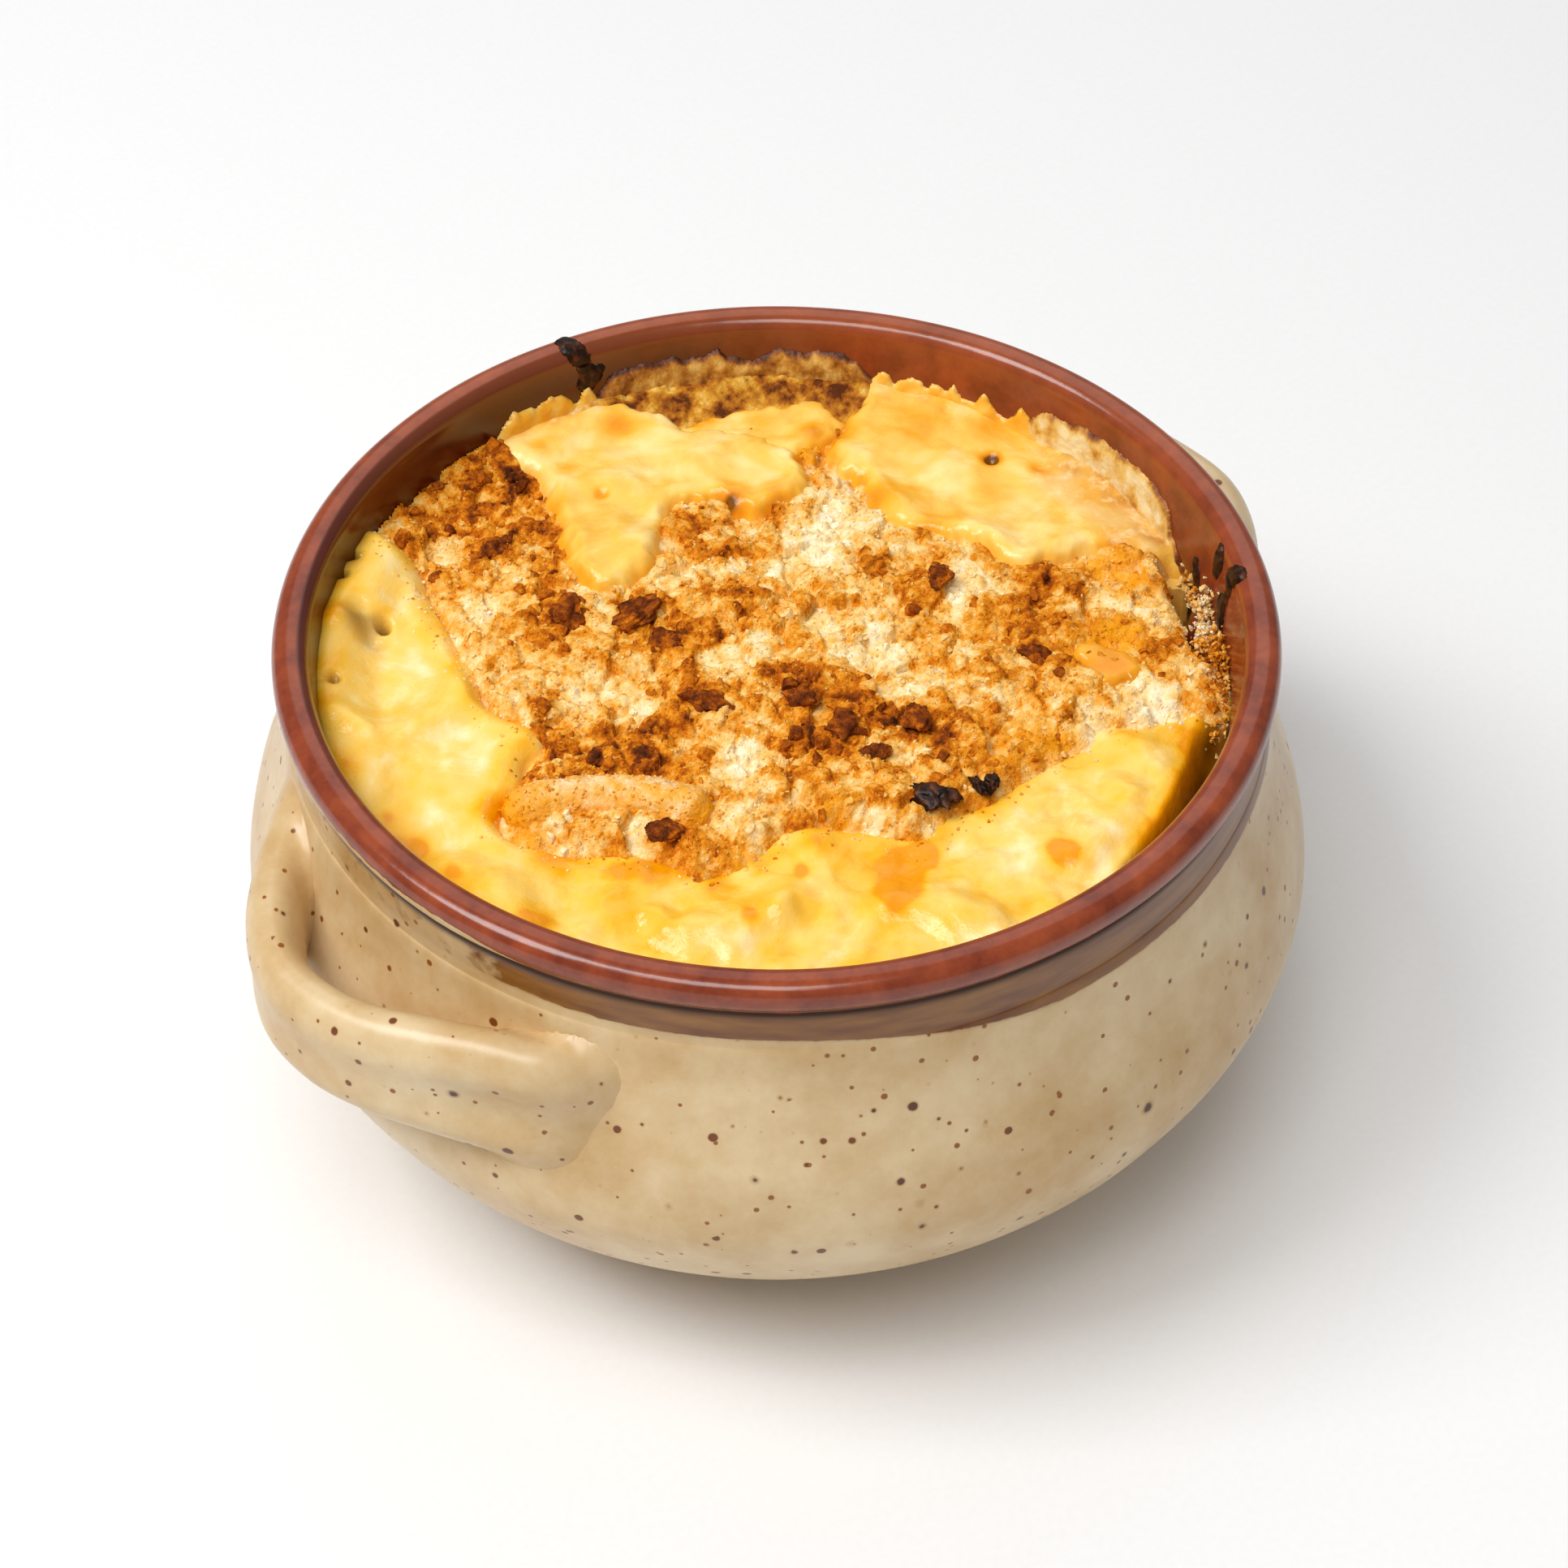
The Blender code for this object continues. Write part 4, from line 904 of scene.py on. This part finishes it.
# Crumb burnt to charcoal, glazed with sugar and oil: near black, brown where thin, with small glints.
ember = add(tree, "TexNoise", {"Vector": coords, "Scale": 900, "Detail": 4})
tone = add(tree, "ValToRGB", {"Fac": ember}, stops=((0.38, "1A0B05"), (0.54, "34190A"), (0.72, "643414")))
blister = add(tree, "Bump", {"Strength": 0.5, "Distance": 0.0004, "Height": ember})
wire(tree, surface, {"Base Color": tone, "Roughness": 0.34, "Specular IOR Level": 0.2, "Normal": blister})

# Two lumps each, as (right, back, length, thickness as a share of it)
CHARRED = (
    (18.4, -23.2, 4.8, 0.28), (20.6, -22.8, 3.4, 0.3), (24.6, -21.0, 3.0, 0.4), (26.0, -20.4, 2.6, 0.6),
)
char = bmesh.new()
for i, (right, back, size, flatness) in enumerate(CHARRED):
    height = crumb_face(np.array([right]), np.array([back]))[0][0]
    add_flake(char, (right, back, height + 0.7), size, flatness, 40 + i * 2.3)
charred_flakes = piece("charred_flakes", char, charred)
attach(charred_flakes, "root")

# The crusted elbow: one whole macaroni lying on top at the front left, coated in cheese and crumbs.
MACARONI_R = 3.1
MACARONI_BEND_R = 24.0
MACARONI_HALF_ANGLE = math.radians(31)
MACARONI_BEND_CENTRE = (-20.5, -46.1)
MACARONI_RISE = 1.0
MACARONI_CRUMBS = 600
elbow = bmesh.new()
ring = bmesh.ops.create_circle(elbow, radius=MACARONI_R, segments=56)["verts"]
bmesh.ops.rotate(elbow, cent=(0, 0, 0), matrix=Matrix.Rotation(math.pi / 2, 3, "X"), verts=ring)
bmesh.ops.translate(elbow, vec=(MACARONI_BEND_R, 0, 0), verts=ring)
bmesh.ops.rotate(
    elbow, cent=(0, 0, 0), matrix=Matrix.Rotation(math.pi / 2 - MACARONI_HALF_ANGLE, 3, "Z"), verts=ring
)
bmesh.ops.spin(
    elbow, geom=elbow.verts[:] + elbow.edges[:], cent=(0, 0, 0), axis=(0, 0, 1),
    angle=2 * MACARONI_HALF_ANGLE, steps=72,
)
bmesh.ops.holes_fill(elbow, edges=[edge for edge in elbow.edges if edge.is_boundary], sides=0)
bmesh.ops.recalc_face_normals(elbow, faces=elbow.faces[:])
u, v, z = places(elbow)
bend = np.arctan2(u, v) / MACARONI_HALF_ANGLE
taper = 1 - 0.5 * ramp(abs(bend), 0.78, 1.0) ** 2
r = np.hypot(u, v)
r, z = MACARONI_BEND_R + (r - MACARONI_BEND_R) * taper, z * taper
u, v = r * np.sin(np.arctan2(u, v)), r * np.cos(np.arctan2(u, v))
lump = 1 + 0.10 * ripple(u + z, v - z, 3.2, 91.0) + 0.07 * ripple(u - z, v + z, 1.2, 93.0)
middle = MACARONI_BEND_R / np.hypot(u, v)
fatter = middle + (1 - middle) * lump
u, v, z = u * fatter, v * fatter, z * lump
u, v = u + MACARONI_BEND_CENTRE[0], v + MACARONI_BEND_CENTRE[1]
move(elbow, u, v, z + bedding(u, v) + MACARONI_RISE)
coat = 0.24 + 0.22 * ripple(u + z, v, 2.6, 95.0) + 0.35 * ramp(abs(bend), 0.75, 1.0)
bare = 0.55 + 0.75 * ramp(-z, -2.4, 0.4) + 0.5 * ramp(-bend, 0.5, 0.95)
crumb = rng.integers(0, len(u), MACARONI_CRUMBS)
crumb = crumb[z[crumb] > 0.4]
stuck = np.column_stack((u[crumb], v[crumb], (z + bedding(u, v) + MACARONI_RISE)[crumb]))
shapes, size = crumb_shapes(12, 12), rng.uniform(0.3, 0.8, len(crumb))
strewn(
    "macaroni_crumbs", shapes, stuck, size, breadcrumb, "toasted_breadcrumbs",
    toast=coat[crumb] + 0.14 + rng.normal(0, 0.06, len(crumb)), cheesy=0.8 * bare[crumb],
)
macaroni_elbow = piece("crusted_macaroni", elbow, breadcrumb, toast=coat, cheesy=bare)
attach(macaroni_elbow, "root")

# The melted cheese on the crumbs: grated cheddar that flowed together into two sheets at the back, thick and
# round at their free edges and browned at the wall, with a film between them and a small chip at the right.
melted, tree, surface, coords = new_finish("melted cheddar")
# Melted cheddar: smooth, oily and slightly translucent, amber where it is thin at its edge.
amber = add(tree, "Attribute", attribute_name="amber", out=2)
crusty = add(tree, "Attribute", attribute_name="crusty", out=2)
swirl = add(
    tree, "TexNoise", {"Vector": coords, "Scale": 95, "Detail": 5, "Roughness": 0.55, "Distortion": 0.8}
)
fine = add(tree, "TexNoise", {"Vector": coords, "Scale": 500, "Detail": 4, "Roughness": 0.65})
blend = add(tree, "Math", {0: swirl, 1: 0.7, 2: amber}, operation="MULTIPLY_ADD")
tone = add(
    tree, "ValToRGB", {"Fac": blend},
    stops=((0.20, "FFE094"), (0.38, "FCC656"), (0.56, "F8AF2A"), (0.82, "E88F10"), (1.0, "7E4A0C")),
)
crust_sum = add(tree, "Math", {0: crusty, 1: fine}, operation="MULTIPLY")
crust_mask = add(tree, "MapRange", {"Value": crust_sum, "From Min": 0.16, "From Max": 0.5})
browning = add(tree, "ValToRGB", {"Fac": fine}, stops=((0.35, "B4742C"), (0.5, "DDA450"), (0.66, "F4D296")))
melt_tone = add(tree, "Mix", {0: crust_mask, 6: tone, 7: browning}, out=2, data_type="RGBA")
oily = add(tree, "MapRange", {"Value": crust_mask, "To Min": 0.22, "To Max": 0.6})
bump = add(tree, "Bump", {"Strength": 0.25, "Distance": 0.0006, "Height": fine})
wire(tree, surface, {"Base Color": melt_tone, "Roughness": oily, "Normal": bump, **CHEESE_BODY})
MELT_STEP, MELT_FLOOR = 0.34, 61.0


def melt(name, outline, low, high, thick, ambers, pits, sunk=0.0):
    """A sheet of melted cheese between two corners that dives below the crumbs outside its outline. Its
    amber places and its pits are (right, back, radius, strength or depth)."""
    sheet = raised_grid(
        low, high, MELT_STEP, lambda u, v: np.minimum(depth_inside(u, v, outline) + 1.6, within_wall(u, v))
    )
    u, v, _ = places(sheet)
    ragged = 1.0 * ripple(u, v, 3.4, 91.0) + 0.5 * ripple(u, v, 1.3, 97.0)
    depth = depth_inside(u, v, outline) + ragged
    rolled = thick * (0.75 + 0.5 * ramp(ripple(u, v, 9, 13.0), -0.4, 0.5))
    share = np.clip(depth / (1.5 * rolled), 0, 1)
    body = rolled * (1 - (1 - share) ** 2) ** 0.7 + 0.3 * bell(depth, 2.2, 1.4)
    body -= sunk + 1.5 * ramp(np.hypot(u, v), 50, 56)
    waves = 0.6 * ripple(u, v, 8, 17.0) + 0.34 * ripple(u, v, 4.2, 19.0) + 0.12 * ripple(u, v, 1.8, 23.0)
    dive = 2.4 * ramp(-depth, 0.0, 1.0)
    move(sheet, u, v, crumb_bed(u, v) + body + waves * share - spots(u, v, pits) - dive)
    close_below(sheet, MELT_FLOOR)
    u, v, _ = places(sheet)
    depth = depth_inside(u, v, outline) + 0.8 * ripple(u, v, 3.4, 91.0)
    angle, r = direction(u, v), np.hypot(u, v)
    fibrous = ramp(angle, 20, 27) * (1 - ramp(angle, 44, 54)) * ramp(r, 45.5, 51.0)
    near_wall = ramp(r, 52.5, 56.5) * ramp(ripple(u, v, 3.0, 33.0), -0.5, 0.5) + fibrous
    mixed = 0.16 * ripple(u, v, 7, 35.0) + 0.1 * ripple(u, v, 3, 37.0)
    made = piece(
        name, sheet, melted, crusty=0.7 * near_wall,
        amber=spots(u, v, ambers) + 0.16 * bell(depth, 0, 0.7) + mixed,
    )
    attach(made, "root")
    return made


left_sheet = melt(
    "melted_cheese_left", LEFT_MELT, (-41, 12), (7, 56), 1.35,
    (
        (-21, 47, 3.5, 0.35), (-6, 32.0, 3.0, 0.5), (0, 32.5, 2.5, 0.4), (-23, 33, 1.2, 0.4),
        (-19, 20, 3, 0.15), (-31, 42, 3, 0.2), (-28, 38, 2, 0.3), (3.0, 40.0, 1.2, 0.7),
    ),
    ((3.0, 40.0, 0.9, 1.4), (-23.0, 33.0, 1.2, 0.7), (-21.5, 22.0, 1.5, 0.3)),
)
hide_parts("cheese_melt_left")
right_sheet = melt(
    "melted_cheese_right", RIGHT_MELT, (3, 16), (57.5, 57.5), 1.2,
    (
        (8, 46, 4, 0.4), (20, 47, 5, 0.2), (35, 38, 2.2, 0.5), (28.7, 40.6, 1.6, 1.1), (44, 24, 4, 0.25),
        (28, 30, 6, 0.1), (14, 33, 3, 0.2), (21, 27, 3, 0.25),
    ),
    ((28.7, 40.6, 1.3, 1.3), (35.0, 38.5, 1.6, 0.8), (23.0, 50.0, 1.2, 0.6)),
)
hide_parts("cheese_melt_right")
BACK_FILM = (
    (-14.0, 47.0), (-8.0, 50.0), (0.0, 52.0), (6.0, 52.0), (9.0, 48.0), (6.0, 44.0), (0.0, 42.0),
    (-6.0, 44.0),
)
melt(
    "melted_cheese_film", BACK_FILM, (-17, 40), (11, 55), 0.7,
    ((-3, 49, 3, 0.3), (5, 46, 3, 0.5), (-10, 48, 3, 0.3)), ((1.0, 46.0, 2.0, 0.3),),
)
AMBER_BIT = ((37.4, 3.4), (40.5, 5.0), (44.6, 3.0), (45.2, -0.4), (41.4, -2.6), (39.4, -0.8))
melt(
    "amber_cheese", AMBER_BIT, (35, -5), (49, 8), 0.8,
    ((41.5, 1.5, 6.0, 0.42),), ((42.5, 2.2, 3.0, 0.3),), sunk=0.35,
)

# What has baked onto the wall above the food: a lacy brown crust at the back left, cheese that crept up in
# tongues on both sides of it, and a fibrous tan skin further right. Each edge is (degrees, height).
CRUST_EDGE = (
    (116.5, 64.5), (115.0, 66.8), (113.3, 68.6), (112.5, 69.7), (109.4, 69.8), (106.3, 69.7), (105.0, 69.6),
    (103.9, 70.3), (102.9, 69.2), (101.6, 69.5), (99.9, 69.1), (98.8, 70.1), (97.9, 70.6), (97.1, 69.2),
    (95.6, 68.7), (93.9, 68.2), (92.2, 68.6), (90.9, 69.6), (89.7, 70.2), (88.0, 69.6), (86.3, 69.4),
    (84.6, 69.8), (82.4, 69.8), (80.7, 69.6), (79.0, 68.8), (77.0, 66.5), (74.0, 63.0),
)
LEFT_EDGE = (
    (134.0, 64.0), (130.5, 66.5), (129.2, 68.0), (127.8, 69.1), (126.4, 68.6), (124.9, 68.4), (123.4, 68.1),
    (121.9, 68.7), (120.5, 68.8), (119.4, 67.7), (118.5, 66.6), (117.7, 66.8), (117.0, 68.9), (116.3, 69.1),
    (115.9, 68.0), (115.1, 66.4), (113.8, 65.2), (111.9, 64.9), (110.4, 65.0), (109.1, 66.5), (108.2, 64.1),
    (106.4, 63.1),
)
RIGHT_EDGE = (
    (80.5, 60.0), (78.6, 61.7), (77.8, 63.7), (77.0, 65.9), (76.1, 67.4), (75.4, 67.9), (74.5, 67.4),
    (73.8, 66.3), (72.3, 67.2), (71.3, 67.9), (70.4, 67.5), (69.0, 66.4), (68.4, 67.4), (67.4, 67.3),
    (66.3, 66.8), (65.3, 68.1), (64.0, 66.5), (62.9, 66.2), (61.8, 67.0), (60.9, 68.4), (59.2, 66.6),
    (58.0, 65.8), (56.8, 65.7), (55.0, 68.4), (53.2, 66.8), (51.0, 64.0),
)
TAN_EDGE = (
    (55.5, 65.0), (53.3, 67.6), (51.7, 69.0), (50.3, 69.6), (47.5, 69.6), (45.8, 70.0), (44.1, 70.3),
    (40.2, 70.0), (36.3, 69.9), (31.9, 69.8), (30.1, 69.4), (28.4, 68.9), (27.0, 68.3), (26.3, 67.1),
    (25.6, 65.5), (24.3, 64.7), (23.3, 63.4), (21.5, 61.0),
)
# The wall is unrolled at this radius and from this height up: films are drawn flat there and wrapped on.
ARC_R = 57.0
FOOT_OF_WALL = 58.0
FILM_LOW, FILM_HIGH, FILM_STEP = 59.0, 71.5, 0.26
wall_path = np.array([p for p in [*inner_line[::-1], *lip_line[::-1]] if p[1] >= FOOT_OF_WALL])
steps = np.diff(wall_path, axis=0)
path_length = FOOT_OF_WALL + np.concatenate(([0], np.cumsum(np.hypot(steps[:, 0], steps[:, 1]))))
path_slope = np.gradient(wall_path, path_length, axis=0)


def back_with(bm, floor):
    """Gives a raised grid an underside of as many faces, so that it can be bent along the wall."""
    grown = bmesh.ops.extrude_face_region(bm, geom=bm.faces[:], use_keep_orig=True)["geom"]
    for vert in grown:
        if isinstance(vert, bmesh.types.BMVert):
            vert.co.z = floor
    bmesh.ops.recalc_face_normals(bm, faces=bm.faces[:])


def wrap(bm):
    """Bends a piece drawn flat, along the wall, up it and out from it, onto the wall and over the lip."""
    along, up, out = places(bm)
    tangent_r, tangent_z = (np.interp(up, path_length, path_slope[:, i]) for i in (0, 1))
    r = np.interp(up, path_length, wall_path[:, 0]) - out * tangent_z
    z = np.interp(up, path_length, wall_path[:, 1]) + out * tangent_r
    move(bm, r * np.cos(along / ARC_R), r * np.sin(along / ARC_R), z)
    if bm.calc_volume(signed=True) < 0:
        bmesh.ops.reverse_faces(bm, faces=bm.faces[:])


def skin(name, edge, thick, tatter, finish, slot, paint):
    """A film baked onto the wall below a ragged edge, given by its direction and height."""
    arcs, tops = (np.array(column)[::-1] for column in zip(*edge))
    arcs = np.radians(arcs) * ARC_R

    def depth_of(along, up):
        ragged = tatter * (ripple(along, up, 1.1, 101.0) + 0.6 * ripple(along, up, 0.5, 103.0))
        sides = np.minimum(along - arcs[0], arcs[-1] - along)
        return np.minimum(np.interp(along, arcs, tops) - up, sides) + ragged

    low, high = (arcs[0], FILM_LOW), (arcs[-1], FILM_HIGH)
    film = raised_grid(low, high, FILM_STEP, lambda along, up: depth_of(along, up) + 0.35)
    along, up, _ = places(film)
    depth = depth_of(along, up)
    share = np.clip(depth / 1.6, 0, 1)
    body = thick * np.sqrt(1 - (1 - share) ** 2) * (1 + 0.4 * ripple(along, up, 1.6, 105.0))
    body += 0.12 * ripple(along, up, 0.6, 107.0) * share
    move(film, along, up, np.where(depth > 0, np.maximum(body, 0.02), -0.3))
    back_with(film, -0.35)
    along, up, _ = places(film)
    values = paint(along, up, depth_of(along, up))
    wrap(film)
    made = piece(name, film, finish, **values)
    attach(made, "root")


baked_on, tree, surface, coords = new_finish("baked-on cheese crust")
# Milk solids and fat fried dry on hot glaze: mottled gold and brown, brownest at the edge, matt and gritty.
brown = add(tree, "Attribute", attribute_name="brown", out=2)
pulled = add(tree, "Mapping", {"Vector": coords, "Scale": (1.0, 1.0, 0.7)})
fibre = add(tree, "TexNoise", {"Vector": pulled, "Scale": 400, "Detail": 6, "Roughness": 0.7})
blend = add(tree, "Math", {0: fibre, 1: 1.5, 2: brown}, operation="MULTIPLY_ADD")
shifted = add(tree, "MapRange", {"Value": blend, "From Min": 0.4, "From Max": 2.0})
tone = add(
    tree, "ValToRGB", {"Fac": shifted},
    stops=((0.14, "F0DDA8"), (0.32, "E2B65E"), (0.46, "C4862C"), (0.60, "8C4E18"), (0.78, "4A200A")),
)
bump = add(tree, "Bump", {"Strength": 0.7, "Distance": 0.0006, "Height": fibre})
wire(tree, surface, {"Base Color": tone, "Roughness": 0.5, "Normal": bump})

skin(
    "baked_on_crust", CRUST_EDGE, 0.7, 0.45, baked_on, "toasted_breadcrumbs",
    lambda along, up, depth: {
        "brown": 0.42 + 0.5 * bell(depth, 0, 0.5) + 0.3 * ripple(along, up, 2.2, 109.0),
    },
)
skin(
    "baked_on_tan_skin", TAN_EDGE, 0.6, 0.4, baked_on, "melted_cheese",
    lambda along, up, depth: {"brown": 0.5 * bell(depth, 0, 0.8) + 0.5 * ripple(along, up, 2.2, 111.0)},
)
for name, edge, thick in (("wall_cheese_left", LEFT_EDGE, 0.7), ("wall_cheese_right", RIGHT_EDGE, 0.65)):
    skin(
        name, edge, thick, 0.4, melted, "melted_cheese",
        lambda along, up, depth: {
            "amber": 0.12 + 0.25 * ripple(along, up, 2.2, 113.0), "crusty": 0.5 * bell(depth, 0.0, 0.6),
        },
    )

# Where sauce boiled over it burnt to black enamel: a run over the lip at the back left, two at the right
# and marks where the food meets the wall there. Each is a line of (degrees, height up the wall, radius).
BURNS = (
    ((118.0, 76.5, 1.2), (117.6, 74.8, 1.5), (116.8, 73.0, 1.3), (116.4, 71.5, 1.1), (115.8, 70.2, 1.5),
     (116.4, 69.2, 1.5), (114.9, 69.6, 0.9), (114.4, 70.8, 0.7)),
    ((13.6, 72.6, 1.0), (13.5, 71.6, 1.35), (13.4, 70.4, 1.3), (13.3, 69.2, 0.8)),
    ((7.4, 74.0, 1.2), (8.2, 73.0, 1.5), (9.2, 72.0, 1.2), (8.4, 71.0, 0.9), (8.4, 69.6, 0.7),
     (8.8, 68.3, 1.0), (9.3, 67.3, 1.4), (8.6, 66.0, 1.3), (7.6, 64.8, 1.0)),
    ((351.0, 63.2, 0.7), (349.0, 62.6, 0.8), (347.0, 62.8, 0.6), (345.0, 62.4, 0.5), (353.0, 62.4, 0.6)),
    ((18.8, 66.2, 0.8), (18.0, 64.8, 1.0), (17.6, 63.4, 0.9)),
)
BURN_STEP, BURN_MARGIN, BURN_THICK = 0.15, 2.5, 0.42


def burn_depth(knots, along, up):
    """How far inside the ragged edge of a burnt line each place is."""
    links = []
    for (a, b, first), (c, d, last) in zip(knots, knots[1:]):
        t = np.clip(((along - a) * (c - a) + (up - b) * (d - b)) / ((c - a) ** 2 + (d - b) ** 2), 0, 1)
        away = np.hypot(along - a - t * (c - a), up - b - t * (d - b))
        links.append(first + (last - first) * t - away)
    ragged = 0.25 * ripple(along, up, 0.8, 115.0) + 0.12 * ripple(along, up, 0.35, 117.0)
    return np.max(links, axis=0) + ragged


def burnt_line(knots):
    """A bmesh of one burnt line, wrapped onto the wall."""
    across, heights, _ = zip(*knots)
    bm = raised_grid(
        (min(across) - BURN_MARGIN, min(heights) - BURN_MARGIN),
        (max(across) + BURN_MARGIN, max(heights) + BURN_MARGIN),
        BURN_STEP, lambda along, up: burn_depth(knots, along, up) + 0.1,
    )
    along, up, _ = places(bm)
    move(bm, along, up, np.clip(0.6 * burn_depth(knots, along, up) + 0.05, -0.15, BURN_THICK))
    back_with(bm, -0.25)
    wrap(bm)
    return bm


burns = bmesh.new()
for line in BURNS:
    mark = burnt_line([(math.radians(a) * ARC_R, height, radius) for a, height, radius in line])
    part = bpy.data.meshes.new("burnt_line")
    mark.to_mesh(part)
    mark.free()
    burns.from_mesh(part)
    bpy.data.meshes.remove(part)
burnt_drips = piece("burnt_drips", burns, charred)
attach(burnt_drips, "root")

# Crumbs that stuck to the wall: a brown mass and a pale column at the right, and a thin brown line along the
# food at the left. Each patch is (degrees, height, spread round, spread up, reach from the wall, crumbs,
# browning).
WALL_CRUMBS = (
    (3.2, 64.6, 2.2, 1.0, 3.6, 900, 0.60), (0.0, 63.4, 2.4, 1.0, 3.4, 700, 0.56),
    (6.5, 63.4, 1.6, 1.2, 2.6, 260, 0.35), (12.0, 64.2, 0.9, 1.5, 1.6, 260, 0.26),
    (8.8, 63.2, 1.5, 0.8, 2.6, 200, 0.05), (-4.5, 62.8, 2.4, 0.7, 2.4, 200, 0.5),
    (172.0, 65.2, 9.0, 0.5, 0.8, 190, 0.8), (150.0, 64.0, 8.0, 0.5, 0.8, 200, 0.8),
    (138.0, 65.0, 6.0, 0.8, 1.0, 220, 0.65), (205.0, 62.8, 14.0, 0.4, 0.8, 120, 0.75),
    (17.0, 63.0, 1.6, 1.0, 1.4, 110, 0.4),
)
along, up, inward, browned = [], [], [], []
for degrees, height, wide, tall, reach, count, tone in WALL_CRUMBS:
    along.append(np.radians(rng.normal(degrees, wide, count)))
    inward.append(reach * rng.uniform(0, 1, count))
    up.append(rng.normal(height, tall, count) - 0.75 * inward[-1])
    browned.append(tone + rng.normal(0, 0.13, count))
along, up, inward, browned = (np.concatenate(column) for column in (along, up, inward, browned))
size = 0.35 + 0.8 * rng.uniform(0, 1, len(along)) ** 2
up = np.clip(up, FOOT_OF_WALL + 2.5, LIP[1] - 1.5)
r = wall_radius(up) - 0.3 * size - inward
strewn(
    "wall_crumbs", crumb_shapes(12, 16), np.column_stack((r * np.cos(along), r * np.sin(along), up)), size,
    breadcrumb, "toasted_breadcrumbs", toast=browned,
)

# The stage: a white table in a bright studio, a broad soft lamp high at the left, another in front and a
# weak one behind, and the camera. Each lamp is (degrees, elevation, distance in metres, size, watts).
LAMPS = {
    "key": (197.0, 58.0, 1.2, 0.55, 8.6),
    "front": (256.0, 65.0, 1.2, 0.5, 5.2),
    "back": (85.0, 50.0, 1.0, 0.7, 1.4),
}
STUDIO_GLOW = 0.28
AIM_HEIGHT = 0.04
FLOOR_R = 3000.0
floor = bmesh.new()
bmesh.ops.create_circle(floor, cap_ends=True, radius=FLOOR_R, segments=64)
paper, tree, surface, coords = new_finish("white paper")
# Matt white card with a faint tooth.
tooth = add(tree, "TexNoise", {"Vector": coords, "Scale": 900, "Detail": 2})
card = add(tree, "ValToRGB", {"Fac": tooth}, stops=((0.3, "EFEFEF"), (0.7, "F1F1F1")))
wire(tree, surface, {"Base Color": card, "Roughness": 0.9, "Specular IOR Level": 0.1})
ground = piece("floor", floor, paper, smooth=False)

world = bpy.data.worlds.new("studio")
bpy.context.scene.world = world
world.use_nodes = True
world.node_tree.nodes["Background"].inputs["Color"].default_value = (1, 1, 1, 1)
world.node_tree.nodes["Background"].inputs["Strength"].default_value = STUDIO_GLOW

for name, (degrees, elevation, distance, size, power) in LAMPS.items():
    data = bpy.data.lights.new(name, "AREA")
    data.size = size
    data.energy = power
    lamp = bpy.data.objects.new(name, data)
    bpy.context.scene.collection.objects.link(lamp)
    a, e = math.radians(degrees), math.radians(elevation)
    place = Vector((math.cos(a) * math.cos(e), math.sin(a) * math.cos(e), math.sin(e))) * distance
    lamp.location = Matrix.Rotation(SERVED_TURN, 3, "Z") @ place
    lamp.rotation_euler = (Vector((0, 0, AIM_HEIGHT)) - lamp.location).to_track_quat("-Z", "Y").to_euler()

# The camera looks down on the lip's middle from CAMERA_REACH metres, and aims this far right and up of it.
CAMERA_REACH = 0.4606
CAMERA_RISE = math.radians(43.0)
AIM = (0.00084, -0.01957)
LENS, SENSOR = 85, 36
turn = Matrix.Rotation(SERVED_TURN, 3, "Z")
back = turn @ Vector((0, -math.cos(CAMERA_RISE), math.sin(CAMERA_RISE)))
right = turn @ Vector((1, 0, 0))
up = back.cross(right)
lip_centre = Vector((0, 0, LIP[1] * MM))
eye = bpy.data.objects.new("camera", bpy.data.cameras.new("camera"))
bpy.context.scene.collection.objects.link(eye)
eye.data.lens = LENS
eye.data.sensor_width = SENSOR
eye.location = lip_centre + back * CAMERA_REACH
gaze = lip_centre + right * AIM[0] + up * AIM[1] - eye.location
eye.rotation_euler = gaze.to_track_quat("-Z", "Y").to_euler()
bpy.context.scene.camera = eye
bpy.context.scene.view_settings.view_transform = "Standard"
